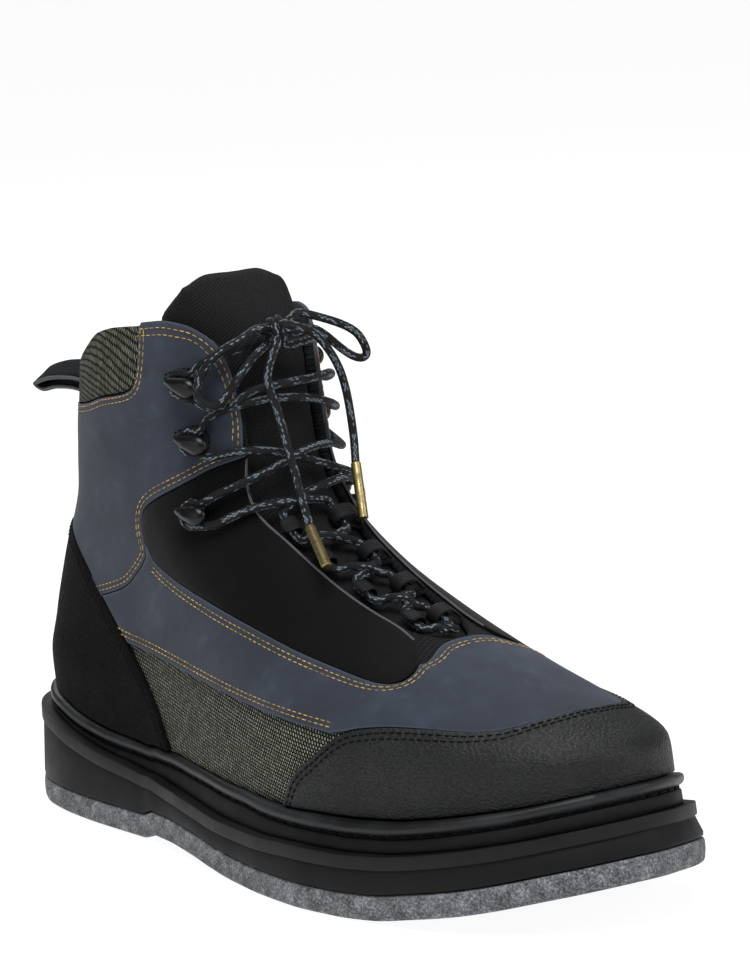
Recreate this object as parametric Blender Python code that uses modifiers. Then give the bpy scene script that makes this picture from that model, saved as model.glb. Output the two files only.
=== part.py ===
"""Wading boot for the right foot, modelled in metres, +Z up, toe to +X, medial side to +Y.

The felt sole and the midsole are lofted from one table of sections. The upper is one hollow
shell whose rings fan up from the welt to the collar, and every overlay, the tongue and the lace
are placed on that same form by (around, up) shares: around is 0 at the front centre and 1 at the
heel seam, up is 0 at the welt and 1 at the collar.
"""
import math
from collections import namedtuple

import bmesh
import bpy
import numpy as np
from mathutils import Matrix, Vector
from mathutils.geometry import delaunay_2d_cdt

# Driving dimensions, metres
SOLE_LENGTH = 0.325
SOLE_WIDTH = 0.1235
HEEL_REACH = 0.044        # from the heel seat's centre back to the heel's end
TOE_SPRING = 0.0185
ARCH_LIFT = 0.0025
FELT_THICKNESS = 0.009
MIDSOLE_WALL = 0.0285     # height of the midsole's side at the heel
WELT_RISE = 0.013         # highest step from midsole ledge to welt top
TOE_SETBACK = 0.0034      # how far the midsole's side leans back at the toe
WELT_WIDTH = 0.0175
UPPER_RISE = 0.127        # welt to the collar's edge at the back
WALL = 0.0025
COLLAR_CREST = 0.0165     # the collar's sides stand this much above its back
OVERLAY = 0.0013
OVERLAY_GAP = 0.0008
CAP_THICKNESS = 0.002
TONGUE_THICKNESS = 0.005
INSOLE_THICKNESS = 0.004
LACE = 0.004
KNOT = 0.0108
HOOK_HEAD = 0.0036        # height of a hook's head, over the lace
HOOK_NECK = 0.0032
WEBBING = 0.0012
WEBBING_WIDTH = 0.0055
PULL_WIDTH = 0.011
PULL_THICKNESS = 0.0015
STUD = 0.0045
STUD_DEPTH = 0.0022
AGLET_LENGTH = 0.021
AGLET = 0.0038
CLEARANCE = 0.0003
SEAT = 0.0005             # the upper's foot over the welt

HALF_WIDTH = SOLE_WIDTH / 2
TOE_APEX = 0.138 * HALF_WIDTH

# One row for each station: share of the length from the heel, the two edges as shares of half the
# width, the toe spring and arch shares, and the shares of the midsole's side and the welt's rise
Section = namedtuple("Section", "along lateral medial spring arch wall welt")
SOLE_SECTIONS = [
    Section(0.000, 0.000, 0.000, 0.00, 0.0, 1.00, 0.54),
    Section(0.012, -0.291, 0.275, 0.00, 0.0, 1.00, 0.54),
    Section(0.045, -0.502, 0.486, 0.00, 0.0, 0.98, 0.54),
    Section(0.100, -0.648, 0.632, 0.00, 0.0, 0.91, 0.55),
    Section(0.160, -0.704, 0.680, 0.00, 0.0, 0.77, 0.57),
    Section(0.220, -0.721, 0.688, 0.00, 0.0, 0.66, 0.62),
    Section(0.300, -0.722, 0.660, 0.00, 0.0, 0.55, 0.74),
    Section(0.325, -0.736, 0.640, 0.00, 1.0, 0.46, 0.80),
    Section(0.360, -0.761, 0.623, 0.00, 1.0, 0.41, 0.90),
    Section(0.420, -0.826, 0.599, 0.00, 0.8, 0.38, 0.96),
    Section(0.470, -0.883, 0.623, 0.00, 0.4, 0.38, 1.00),
    Section(0.530, -0.939, 0.721, 0.00, 0.0, 0.41, 0.98),
    Section(0.590, -0.988, 0.842, 0.00, 0.0, 0.43, 0.88),
    Section(0.650, -1.004, 0.939, 0.00, 0.0, 0.47, 0.81),
    Section(0.710, -0.964, 0.980, 0.00, 0.0, 0.48, 0.81),
    Section(0.760, -0.907, 0.988, 0.04, 0.0, 0.49, 0.81),
    Section(0.810, -0.834, 0.972, 0.18, 0.0, 0.48, 0.81),
    Section(0.860, -0.729, 0.923, 0.34, 0.0, 0.48, 0.83),
    Section(0.900, -0.607, 0.858, 0.51, 0.0, 0.47, 0.84),
    Section(0.935, -0.470, 0.769, 0.69, 0.0, 0.46, 0.86),
    Section(0.965, -0.324, 0.624, 0.84, 0.0, 0.46, 0.87),
    Section(0.985, -0.162, 0.462, 0.94, 0.0, 0.46, 0.87),
    Section(0.996, 0.008, 0.300, 0.99, 0.0, 0.47, 0.87),
    Section(1.000, 0.138, 0.138, 1.00, 0.0, 0.47, 0.87),
]

# One row for each ring of the last: up, where it meets the back and the front (shares of the
# length from the heel, and of the rise above the welt), the front's shift to the medial side, the
# half widths at heel and ball (shares of half the sole's width), how oval it is, and the bluntness
# of its back and front ends
Ring = namedtuple("Ring", "up back back_rise front front_rise shift heel_l heel_m ball_l ball_m "
                          "oval blunt_back blunt_front")
RINGS = [
    Ring(0.00, 0.026, 0.000, 0.956, 0.000, 0.130, 0.590, 0.575, 0.862, 0.846, 0.00, 2.4, 2.40),
    Ring(0.12, 0.020, 0.118, 0.958, 0.085, 0.121, 0.590, 0.575, 0.870, 0.846, 0.05, 2.4, 2.20),
    Ring(0.25, 0.024, 0.252, 0.923, 0.142, 0.105, 0.560, 0.560, 0.830, 0.782, 0.45, 2.6, 2.00),
    Ring(0.38, 0.036, 0.386, 0.837, 0.207, 0.081, 0.528, 0.545, 0.735, 0.686, 0.75, 2.7, 1.95),
    Ring(0.50, 0.050, 0.512, 0.717, 0.305, 0.057, 0.498, 0.525, 0.656, 0.620, 0.90, 2.6, 1.95),
    Ring(0.62, 0.062, 0.630, 0.595, 0.425, 0.024, 0.482, 0.522, 0.595, 0.570, 1.00, 2.4, 2.00),
    Ring(0.74, 0.068, 0.748, 0.501, 0.562, 0.008, 0.482, 0.520, 0.551, 0.536, 1.00, 2.3, 2.10),
    Ring(0.84, 0.075, 0.843, 0.452, 0.715, 0.000, 0.498, 0.518, 0.534, 0.515, 1.00, 2.2, 2.20),
    Ring(0.92, 0.078, 0.914, 0.437, 0.866, 0.000, 0.498, 0.518, 0.534, 0.515, 1.00, 2.1, 2.20),
    Ring(1.00, 0.079, 0.965, 0.425, 1.031, 0.000, 0.498, 0.520, 0.534, 0.518, 1.00, 2.0, 2.10),
    Ring(1.30, 0.086, 1.230, 0.345, 1.285, 0.000, 0.498, 0.520, 0.534, 0.518, 1.00, 2.0, 2.10),
]
FOOT_HEIGHT = 0.041       # the first ring's level, before it settles on the welt
FOOT_HEIGHT_TOE = 0.047

# The collar's edge between back (0) and front (1), as shares of its crest
Crest = namedtuple("Crest", "along height")
COLLAR = [Crest(0.0, 0.0), Crest(0.15, 0.38), Crest(0.32, 0.84), Crest(0.5, 0.94),
          Crest(0.7, 1.0), Crest(0.8, 0.88), Crest(0.9, 0.44), Crest(1.0, 0.0)]

# Half the throat's opening around the front, for each height on the form
Throat = namedtuple("Throat", "up half")
THROAT = [Throat(0.510, 0.000), Throat(0.516, 0.060), Throat(0.530, 0.105), Throat(0.567, 0.137),
          Throat(0.623, 0.150), Throat(0.705, 0.165), Throat(0.760, 0.190), Throat(0.800, 0.187),
          Throat(0.865, 0.159), Throat(0.930, 0.157), Throat(0.960, 0.170), Throat(1.000, 0.205)]

# Outlines on the form, (around, up), each on the lateral side and mirrored to the medial side
CAP_EDGE = [(0.412, 0.016), (0.399, 0.078), (0.373, 0.138), (0.347, 0.184), (0.325, 0.207),
            (0.287, 0.226), (0.250, 0.232), (0.205, 0.233), (0.163, 0.246), (0.099, 0.285),
            (0.040, 0.305), (0.0, 0.310)]
COUNTER_EDGE = [(0.607, 0.016), (0.615, 0.078), (0.631, 0.144), (0.647, 0.180), (0.667, 0.243),
                (0.693, 0.282), (0.731, 0.357), (0.811, 0.463), (0.900, 0.503), (1.0, 0.510)]
PATCH_EDGE = [(0.425, 0.990), (0.437, 0.962), (0.456, 0.931), (0.492, 0.917), (0.581, 0.905),
              (0.717, 0.891), (1.0, 0.882)]
THROAT_EDGE = [(0.128, 0.505), (0.126, 0.533), (0.141, 0.567), (0.155, 0.623), (0.169, 0.705),
               (0.194, 0.760), (0.191, 0.800), (0.166, 0.858)]
EYESTAY_TOP = [(0.166, 0.858), (0.269, 0.827), (0.411, 0.765), (0.489, 0.712), (0.528, 0.656),
               (0.546, 0.600)]
EYESTAY_FOOT = [(0.546, 0.600), (0.541, 0.558), (0.510, 0.533), (0.447, 0.504), (0.395, 0.469),
                (0.353, 0.433), (0.311, 0.405), (0.273, 0.381), (0.246, 0.390), (0.215, 0.415),
                (0.178, 0.449), (0.144, 0.480), (0.128, 0.505)]
BAND_FOOT = [(0.654, 0.250), (0.605, 0.248), (0.539, 0.240), (0.471, 0.225), (0.423, 0.211),
             (0.383, 0.198), (0.356, 0.190)]
VAMP_LIP = [(0.164, 0.449), (0.139, 0.465), (0.120, 0.474), (0.095, 0.490), (0.060, 0.503),
            (0.0, 0.505)]
SEAM = 0.008              # gap between neighbouring overlays, in shares of the form
SEAM_AT_BAND = 0.290      # where quarter and vamp join under the eyestay

# The tongue's half width around the front, up to its rounded top
TONGUE_EDGE = [(0.0, 0.462), (0.070, 0.464), (0.115, 0.485), (0.165, 0.540), (0.215, 0.640),
               (0.250, 0.740), (0.290, 0.850), (0.335, 0.950), (0.358, 1.000), (0.352, 1.034),
               (0.324, 1.070), (0.285, 1.110), (0.232, 1.165), (0.175, 1.220), (0.120, 1.262),
               (0.060, 1.285), (0.0, 1.292)]

# Lace hooks and the lace's turns inside the webbing loops, on each side
HOOKS = {"lateral": {"low": (0.350, 0.738), "mid": (0.292, 0.868), "top": (0.300, 0.938)},
         "medial": {"low": (0.415, 0.725), "mid": (0.396, 0.866), "top": (0.400, 0.938)}}
TURNS = {"lateral": [(0.132, 0.742), (0.114, 0.675), (0.100, 0.608), (0.072, 0.547)],
         "medial": [(0.042, 0.756), (0.040, 0.682), (0.034, 0.615), (0.022, 0.552)]}

# Lace between the hooks and turns, (around, up, height over the form in lace diameters)
TOP_LATERAL = [(-0.235, 0.921, 1.25), (-0.175, 0.930, 1.20), (-0.079, 0.945, 0.65),
               (0.050, 0.940, 0.90), (0.135, 0.922, 1.30), (0.215, 0.902, 1.45),
               (0.305, 0.886, 1.45)]
TOP_MEDIAL = [(0.315, 0.920, 1.45), (0.235, 0.938, 1.45), (0.165, 0.954, 1.35), (0.080, 0.962, 0.95),
              (-0.025, 0.964, 0.90), (-0.129, 0.951, 1.20), (-0.190, 0.926, 1.45), (-0.240, 0.908, 1.25)]
MID_LATERAL = [(0.315, 0.840, 1.45), (0.240, 0.842, 1.45), (0.180, 0.852, 1.35), (0.110, 0.868, 1.05), (0.005, 0.872, 1.00),
               (-0.095, 0.847, 1.05), (-0.180, 0.818, 1.45), (-0.270, 0.786, 1.40)]
MID_MEDIAL = [(-0.247, 0.853, 1.30), (-0.181, 0.868, 1.20), (-0.090, 0.872, 0.65),
              (-0.017, 0.862, 0.50), (0.090, 0.832, 1.00), (0.180, 0.802, 1.50),
              (0.240, 0.782, 1.55), (0.290, 0.765, 1.55), (0.345, 0.749, 1.45)]
LOW_LATERAL = [(-0.310, 0.722, 1.30), (-0.247, 0.753, 1.20), (-0.177, 0.775, 1.05),
               (-0.109, 0.785, 0.90), (-0.039, 0.789, 0.70)]
LOW_MEDIAL = [(0.345, 0.712, 1.45), (0.290, 0.735, 1.55), (0.240, 0.762, 1.55),
              (0.195, 0.786, 1.50), (0.110, 0.806, 1.20),
              (-0.010, 0.805, 0.35), (-0.075, 0.790, 0.45)]
KNOT_PLACE = (-0.040, 1.050, 2.0)
LEAVES = {"lateral": (-1.38, -0.38, -0.18), "medial": (-0.20, 0.82, -1.15)}

TO_LATERAL = [(-0.140, 1.012, 1.25), (-0.195, 0.990, 1.35), (-0.250, 0.966, 1.30)]
TO_MEDIAL = [(0.060, 1.022, 1.00), (0.120, 1.015, 1.20), (0.185, 0.996, 1.45),
             (0.250, 0.976, 1.55), (0.325, 0.962, 1.45)]

# The bow and the ends from the knot's middle, in lace diameters
BOW_RIGHT = [(0.70, 0.93, 0.83), (0.50, 1.9, 1.4), (1.0, 4.0, 0.8), (1.75, 6.2, -0.1),
             (2.25, 7.5, -1.0), (2.5, 8.15, -2.3), (2.5, 8.45, -3.1), (2.25, 8.1, -3.45),
             (1.75, 7.3, -3.15), (1.25, 6.15, -2.2), (0.75, 5.1, -1.1), (0.60, 3.9, -0.3),
             (0.65, 2.4, -0.15), (0.83, 1.13, -0.28)]
BOW_LEFT = [(-0.13, -1.38, 0.30), (-0.3, -3.6, -0.45), (-1.6, -5.15, -1.55), (-2.4, -6.05, -2.7),
            (-3.0, -6.65, -4.05), (-3.1, -6.9, -5.4), (-2.6, -6.65, -6.1), (-1.5, -5.9, -6.4),
            (-0.85, -5.2, -5.5), (-0.25, -4.1, -3.75), (0.0, -3.1, -2.5), (-0.15, -1.8, -1.7),
            (-0.53, -0.68, -1.15)]
END_RIGHT = [(1.28, -0.30, 0.55), (2.5, 2.2, -0.3), (2.9, 3.4, -1.7), (2.8, 4.75, -3.7),
             (2.8, 5.5, -5.9), (3.25, 5.8, -9.95), (4.0, 5.35, -12.35)]
TAG_RIGHT = (6.0, 4.35, -16.3)
END_LEFT = [(0.98, -0.73, -0.75), (1.3, -1.4, -1.8), (1.25, -2.1, -4.05), (1.9, -1.7, -6.8),
            (2.5, -1.4, -9.3), (3.3, -1.25, -11.8), (5.0, -1.75, -14.25), (7.5, -2.8, -16.7)]
TAG_LEFT = (12.1, -4.5, -19.6)

# The pull loop's line in the plane of the heel seam, shares of the sole's length and of the rise
PULL = [(0.0694, 0.950), (0.036, 0.955), (-0.012, 0.942), (-0.050, 0.918), (-0.062, 0.905),
        (-0.053, 0.893), (-0.012, 0.912), (0.030, 0.918), (0.053, 0.905), (0.0694, 0.888)]
PULL_MIDDLE = 0.915       # the rise at which the pull's line crosses the heel seam's plane
PULL_TILT = math.radians(34)

# Studs: share of the length from the heel, sideways share of half the width
STUDS = [(0.871, 0.526), (0.873, 0.190), (0.878, -0.181), (0.757, 0.614), (0.768, 0.060),
         (0.774, -0.440), (0.653, 0.479), (0.664, -0.036), (0.669, -0.555), (0.554, 0.236),
         (0.566, -0.460), (0.266, -0.296), (0.266, 0.280), (0.120, -0.330), (0.120, 0.330),
         (0.030, 0.0)]

AROUND = 20               # facets along each side of the sole
UPPER_COLUMNS = 16
UPPER_ROWS = [0.0, 0.04, 0.09, 0.15, 0.21, 0.27, 0.33, 0.40, 0.46, 0.51, 0.516, 0.53, 0.56, 0.61,
              0.67, 0.73, 0.79, 0.85, 0.91, 0.96, 1.0]
NUBUCK_BLUE = (0.042, 0.050, 0.072)
BLACK = (0.010, 0.010, 0.011)


def smooth_table(rows, where):
    """Value of each column at one place, by a monotone cubic through the rows' own places."""
    places = [row[0] for row in rows]
    index = min(max(int(np.searchsorted(places, where)) - 1, 0), len(rows) - 2)
    step = [places[i + 1] - places[i] for i in range(len(rows) - 1)]
    share = (where - places[index]) / step[index]
    share = min(max(share, 0.0), 1.0)
    values = []
    for column in range(1, len(rows[0])):
        value = [row[column] for row in rows]
        slope = [(value[i + 1] - value[i]) / step[i] for i in range(len(step))]
        tangents = []
        for i in (index, index + 1):
            if i == 0 or i == len(step):
                tangents.append(slope[min(i, len(step) - 1)])
            elif slope[i - 1] * slope[i] <= 0:
                tangents.append(0.0)
            else:
                first, second = 2 * step[i] + step[i - 1], step[i] + 2 * step[i - 1]
                tangents.append((first + second) / (first / slope[i - 1] + second / slope[i]))
        t, h = share, step[index]
        values.append(value[index] * (1 + 2 * t) * (1 - t) ** 2
                      + tangents[0] * h * t * (1 - t) ** 2
                      + value[index + 1] * t * t * (3 - 2 * t)
                      + tangents[1] * h * t * t * (t - 1))
    return values


def ease(share):
    """Smooth step from 0 to 1."""
    share = min(max(share, 0.0), 1.0)
    return share * share * (3 - 2 * share)


def turn_of(along):
    """Half turn from the toe (0) to the heel (1) for a share of the length from the heel."""
    return math.acos(min(max(2 * along - 1, -1.0), 1.0)) / math.pi


OUTLINE = sorted((turn_of(row.along), row.lateral, row.medial) for row in SOLE_SECTIONS)
PROFILE = [(row.along, row.spring, row.arch, row.wall, row.welt) for row in SOLE_SECTIONS]


def edge_share(along, side):
    """Sideways place of the sole's edge as a share of half its width."""
    lateral, medial = smooth_table(OUTLINE, turn_of(along))
    return medial if side > 0 else lateral


def level(along, layer):
    """Height of one layer of the sole: 0 felt bottom, 1 felt top, 2 ledge, 3 welt top."""
    spring, arch, wall, welt = smooth_table(PROFILE, along)
    height = TOE_SPRING * spring + ARCH_LIFT * arch
    for thickness in (FELT_THICKNESS, MIDSOLE_WALL * wall, WELT_RISE * welt)[:layer]:
        height += thickness
    return height


def sole_x(along):
    return SOLE_LENGTH * along - HEEL_REACH


def sole_along(x):
    return min(max((x + HEEL_REACH) / SOLE_LENGTH, 0.0), 1.0)


def edge_point(turn, inset):
    """Point of the sole's outline, turn -1 to 1 with the lateral side below 0, moved inwards."""
    def at(angle):
        angle = (angle + 1) % 2 - 1
        along = (1 + math.cos(math.pi * angle)) / 2
        return Vector((sole_x(along), HALF_WIDTH * edge_share(along, angle), 0))
    here = at(turn)
    tangent = at(turn + 0.004) - at(turn - 0.004)
    inwards = Vector((-tangent.y, tangent.x, 0)).normalized()
    if inwards.dot(Vector((SOLE_LENGTH * 0.45 - here.x, -here.y * 3, 0))) < 0:
        inwards.negate()
    return here + inwards * inset


def toe_share(along):
    return ease((along - 0.8) / 0.2)


def form_point(around, up, off=0.0):
    """Point of the last at (around, up), moved outwards by off."""
    if off:
        return form_point(around, up) + form_normal(around, up) * off
    if around > 1:
        around -= 2
    if around < -1:
        around += 2
    ring = Ring(up, *smooth_table(RINGS, up))
    share, side = (1 + math.cos(math.pi * around)) / 2, -1 if around < 0 else 1
    x = sole_x(ring.back + (ring.front - ring.back) * share)
    rise = ring.back_rise + (ring.front_rise - ring.back_rise) * share
    z = FOOT_HEIGHT + (FOOT_HEIGHT_TOE - FOOT_HEIGHT) * share + UPPER_RISE * rise
    bend = TOE_APEX * min(max((share - 0.75) / 0.25, 0.0), 1.0) ** 2
    foot = side * (HALF_WIDTH * edge_share(share, side) - bend) / HALF_WIDTH
    blunt = ring.blunt_back if share < 0.5 else ring.blunt_front
    oval = (1 - abs(2 * share - 1) ** blunt) ** (1 / blunt)
    forward = ease((share - 0.15) / 0.5)
    widths = (ring.heel_m, ring.ball_m) if side > 0 else (ring.heel_l, ring.ball_l)
    width = HALF_WIDTH * (widths[0] + (widths[1] - widths[0]) * forward)
    heel_edge = 0.70 if side > 0 else 0.72
    full = 1 + (1 / heel_edge - 1) * (1 - forward) * (1 - ring.oval)
    shift = HALF_WIDTH * ring.shift * min(max((share - 0.6) / 0.4, 0.0), 1.0) ** 1.5
    y = shift + side * width * full * ((1 - ring.oval) * foot + ring.oval * oval)
    settle = ease(1 - up / 0.25)
    seat = level(sole_along(x), 3) + SEAT - FOOT_HEIGHT - (FOOT_HEIGHT_TOE - FOOT_HEIGHT) * share
    crest = min(max((up - 0.72) / 0.28, 0.0), 1.0) ** 2
    z += settle * seat + crest * COLLAR_CREST * smooth_table(COLLAR, share)[0]
    return Vector((x, y, z))


def form_normal(around, up):
    """Outward direction of the last."""
    step = 0.002
    across = form_point(around + step, up) - form_point(around - step, up)
    upward = form_point(around, min(up + step, 1.3)) - form_point(around, max(up - step, 0.0))
    return across.cross(upward).normalized() * FORM_SIDE


def form_side():
    """Sign that turns the last's normals outwards, read at the lateral waist."""
    across = form_point(-0.498, 0.3) - form_point(-0.502, 0.3)
    upward = form_point(-0.5, 0.302) - form_point(-0.5, 0.298)
    return 1 if across.cross(upward).y < 0 else -1


FORM_SIDE = form_side()


def material(name, colour, roughness, metallic=0.0):
    """A Principled material of one colour."""
    made = bpy.data.materials.new(name)
    made.use_nodes = True
    shader = made.node_tree.nodes["Principled BSDF"]
    shader.inputs["Base Color"].default_value = (*colour, 1)
    shader.inputs["Roughness"].default_value = roughness
    shader.inputs["Metallic"].default_value = metallic
    return made


def add_object(name, mesh, finish):
    """Put a mesh in the scene under its node's name, with its own material."""
    item = bpy.data.objects.new(name, mesh)
    mesh.materials.append(material(name + "_finish", *finish))
    BOOT.objects.link(item)
    return item


def mesh_of(build, name):
    """Finish a bmesh as a mesh with its faces pointing out."""
    bmesh.ops.recalc_face_normals(build, faces=build.faces)
    mesh = bpy.data.meshes.new(name)
    build.to_mesh(mesh)
    build.free()
    return mesh


def turns():
    """Half turns of the sole's stations, with the heel's breast among them."""
    half = sorted({i / AROUND for i in range(AROUND + 1)} | {turn_of(0.300), turn_of(0.325)})
    half = [t for i, t in enumerate(half) if i == 0 or t - half[i - 1] > 0.008]
    return [-t for t in reversed(half[1:])] + half[:-1]


def bridge(build, first, second):
    count = len(first)
    for i in range(count):
        j = (i + 1) % count
        build.faces.new((first[i], first[j], second[j], second[i]))


def cap(build, ring, stations):
    """Close a ring with strips from the lateral to the medial edge at each station."""
    toe = stations.index(0.0)
    lateral = [ring[(toe - i) % len(ring)] for i in range(toe + 1)]
    medial = [ring[(toe + i) % len(ring)] for i in range(toe + 1)]
    for i in range(toe):
        corners = [lateral[i], lateral[i + 1], medial[i + 1], medial[i]]
        build.faces.new(list(dict.fromkeys(corners)))


def sole_slab(name, layers, finish):
    """Solid of stacked outlines, each (inset, layer, height above it, share of the toe setback)."""
    build, stations, previous = bmesh.new(), turns(), None
    for inset, layer, lift, setback in layers:
        ring = []
        for turn in stations:
            along = (1 + math.cos(math.pi * turn)) / 2
            back = setback * TOE_SETBACK * toe_share(along)
            point = edge_point(turn, inset + back)
            point.z = level(sole_along(point.x), layer) + lift
            ring.append(build.verts.new(point))
        if previous is None:
            cap(build, ring, stations)
        else:
            bridge(build, previous, ring)
        previous = ring
    cap(build, previous, stations)
    return add_object(name, mesh_of(build, name), finish)


def make_felt():
    """Felt outsole with a pocket for each stud."""
    felt = sole_slab("felt_outsole", [
        (0.0010, 0, 0.0, 0), (0.0, 0, 0.0012, 0),
        (0.0, 1, -0.0010, 0), (0.0005, 1, 0.0, 0)], ((0.36, 0.37, 0.38), 0.95))
    pockets = bmesh.new()
    for along, side in STUDS:
        bmesh.ops.create_cone(pockets, cap_ends=True, segments=8,
                              radius1=STUD / 2 + CLEARANCE, radius2=STUD / 2 + CLEARANCE,
                              depth=2 * (STUD_DEPTH + CLEARANCE), matrix=stud_place(along, side))
    cutter = bpy.data.objects.new("stud_pockets", mesh_of(pockets, "stud_pockets"))
    CUTTERS.objects.link(cutter)
    cutter.hide_render = True
    cutter.display_type = "WIRE"
    cut = felt.modifiers.new("stud pockets", "BOOLEAN")
    cut.operation = "DIFFERENCE"
    cut.object = cutter


def stud_place(along, side):
    """Frame of a stud on the felt's underside, its axis square to the felt."""
    step = 0.01
    slope = (level(min(along + step, 1), 0) - level(along - step, 0)) / (2 * step * SOLE_LENGTH)
    place = Vector((sole_x(along), side * HALF_WIDTH, level(along, 0)))
    return Matrix.Translation(place) @ Matrix.Rotation(-math.atan(slope), 4, "Y")


def make_studs():
    """Steel studs, each a disc with a raised nub inside its pocket, flush with the felt."""
    for number, (along, side) in enumerate(STUDS, 1):
        nub, rim = 0.45 * STUD / 2, 0.25 * STUD_DEPTH
        profile = [(0, 0.0002), (nub, 0.0002), (nub, rim), (STUD / 2, rim + 0.0002),
                   (STUD / 2, STUD_DEPTH), (0, STUD_DEPTH)]
        build = revolved(profile, 6)
        bmesh.ops.transform(build, matrix=stud_place(along, side), verts=build.verts)
        name = f"stud_{number:02d}"
        add_object(name, mesh_of(build, name), ((0.60, 0.61, 0.62), 0.35, 1.0))


def make_midsole():
    """Moulded midsole: dark side, ledge lip and the core that the insole rests on."""
    gap, core = CLEARANCE, WELT_WIDTH + 0.0045
    sole_slab("midsole", [
        (0.0004, 1, gap, 0.1), (0.0, 1, 0.0018, 0.15), (0.0011, 2, -0.0058, 0.8),
        (0.0003, 2, -0.0050, 0.8), (0.0003, 2, -0.0010, 1), (0.0012, 2, 0.0, 1),
        (core, 2, 0.0, 1), (core, 3, 0.0, 1)], ((0.014, 0.014, 0.015), 0.75))


def make_welt():
    """Welt around the midsole's core: an inset band, a groove and a rounded bead."""
    build, stations = bmesh.new(), turns()
    inner = WELT_WIDTH + 0.0045 - 2 * CLEARANCE
    profile = [(0.0052, 2, 2 * CLEARANCE), (0.0064, 2, 0.0030), (0.0066, 3, -0.0052),
               (0.0044, 3, -0.0044), (0.0038, 3, -0.0022), (0.0050, 3, 0.0),
               (inner, 3, 0.0), (inner, 2, 2 * CLEARANCE)]
    rings = []
    for inset, layer, lift in profile:
        ring = []
        for turn in stations:
            along = (1 + math.cos(math.pi * turn)) / 2
            point = edge_point(turn, inset + TOE_SETBACK * toe_share(along))
            point.z = level(sole_along(point.x), layer) + lift
            ring.append(build.verts.new(point))
        rings.append(ring)
    for first, second in zip(rings, rings[1:] + rings[:1]):
        bridge(build, first, second)
    add_object("welt", mesh_of(build, "welt"), ((0.018, 0.018, 0.019), 0.65))


def make_insole():
    """Insole inside the upper's foot, resting on the welt and the midsole's core."""
    build, stations, previous = bmesh.new(), turns(), None
    for lift, shrink in ((0.0010, 0.0014), (INSOLE_THICKNESS, 0.0020)):
        ring = []
        for turn in stations:
            point = form_point(turn, 0.0, -(WALL + shrink))
            point.z = level(sole_along(point.x), 3) + lift
            ring.append(build.verts.new(point))
        if previous is None:
            cap(build, ring, stations)
        else:
            bridge(build, previous, ring)
        previous = ring
    cap(build, previous, stations)
    add_object("insole", mesh_of(build, "insole"), ((0.03, 0.03, 0.032), 0.9))


def face_outwards(build):
    """Turn an open surface of the last so that its faces look away from the foot."""
    bmesh.ops.recalc_face_normals(build, faces=build.faces)
    inner = Vector((SOLE_LENGTH * 0.2, 0, 0.09))
    votes = sum((face.calc_center_median() - inner).dot(face.normal) * face.calc_area()
                for face in build.faces)
    if votes < 0:
        bmesh.ops.reverse_faces(build, faces=build.faces)


def throat_half(up):
    """Half the throat's opening at a height, 0 below its foot."""
    return smooth_table(THROAT, up)[0] if up > THROAT[0].up else 0.0


def make_upper():
    """Hollow lasted upper, open at the collar, down the throat and underneath."""
    shares = [i / UPPER_COLUMNS for i in range(UPPER_COLUMNS + 1)]
    build, rows = bmesh.new(), []
    for up in UPPER_ROWS:
        opening, row = throat_half(up), {}
        for side in (-1, 1):
            for share in shares:
                around = side * (opening + (1 - opening) * share)
                key = (side if opening or share not in (0.0, 1.0) else 0, share)
                key = (0, share) if share == 1.0 else key
                if key not in row:
                    row[key] = build.verts.new(form_point(around, up))
                row[(side, share)] = row[key]
        rows.append(row)
    for lower, upper in zip(rows, rows[1:]):
        for side in (-1, 1):
            for first, second in zip(shares, shares[1:]):
                build.faces.new((lower[side, first], lower[side, second],
                                 upper[side, second], upper[side, first]))
    face_outwards(build)
    mesh = bpy.data.meshes.new("upper")
    build.to_mesh(mesh)
    build.free()
    item = add_object("upper", mesh, ((0.085, 0.092, 0.075), 0.85))
    wall = item.modifiers.new("wall", "SOLIDIFY")
    wall.thickness = WALL
    wall.offset = -1


def curve_through(points, spacing):
    """Smooth line through hand-chosen points of an outline, with points about spacing apart."""
    pts = [Vector((*point, 0)) for point in points]
    line = []
    for i in range(len(pts) - 1):
        before, after = pts[max(i - 1, 0)], pts[min(i + 2, len(pts) - 1)]
        first, last = pts[i], pts[i + 1]
        steps = max(1, round((last - first).length / spacing))
        for k in range(steps):
            t = k / steps
            point = 0.5 * ((2 * first) + (last - before) * t
                           + (2 * before - 5 * first + 4 * last - after) * t * t
                           + (3 * first - before - 3 * last + after) * t ** 3)
            line.append((point.x, point.y))
    line.append(points[-1])
    return line


def shifted(points, distance):
    """An outline moved sideways on the form, to its left along the way it runs."""
    moved = []
    for i, point in enumerate(points):
        before, after = points[max(i - 1, 0)], points[min(i + 1, len(points) - 1)]
        way = Vector((after[0] - before[0], after[1] - before[1])).normalized()
        moved.append((point[0] - way.y * distance, point[1] + way.x * distance))
    return moved


def joined(*runs):
    """One closed outline from runs that end where the next starts."""
    outline = []
    for run in runs:
        for point in run:
            if not outline or math.dist(point, outline[-1]) > 0.004:
                outline.append(point)
    if math.dist(outline[0], outline[-1]) < 0.004:
        outline.pop()
    return outline


def inside(point, outline):
    """Whether a point lies within an outline."""
    hit = False
    for (x1, y1), (x2, y2) in zip(outline, outline[1:] + outline[:1]):
        if (y1 > point[1]) != (y2 > point[1]):
            hit ^= point[0] < x1 + (point[1] - y1) * (x2 - x1) / (y2 - y1)
    return hit


def near(point, outline, distance):
    return any(math.dist(point, other) < distance for other in outline)


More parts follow.
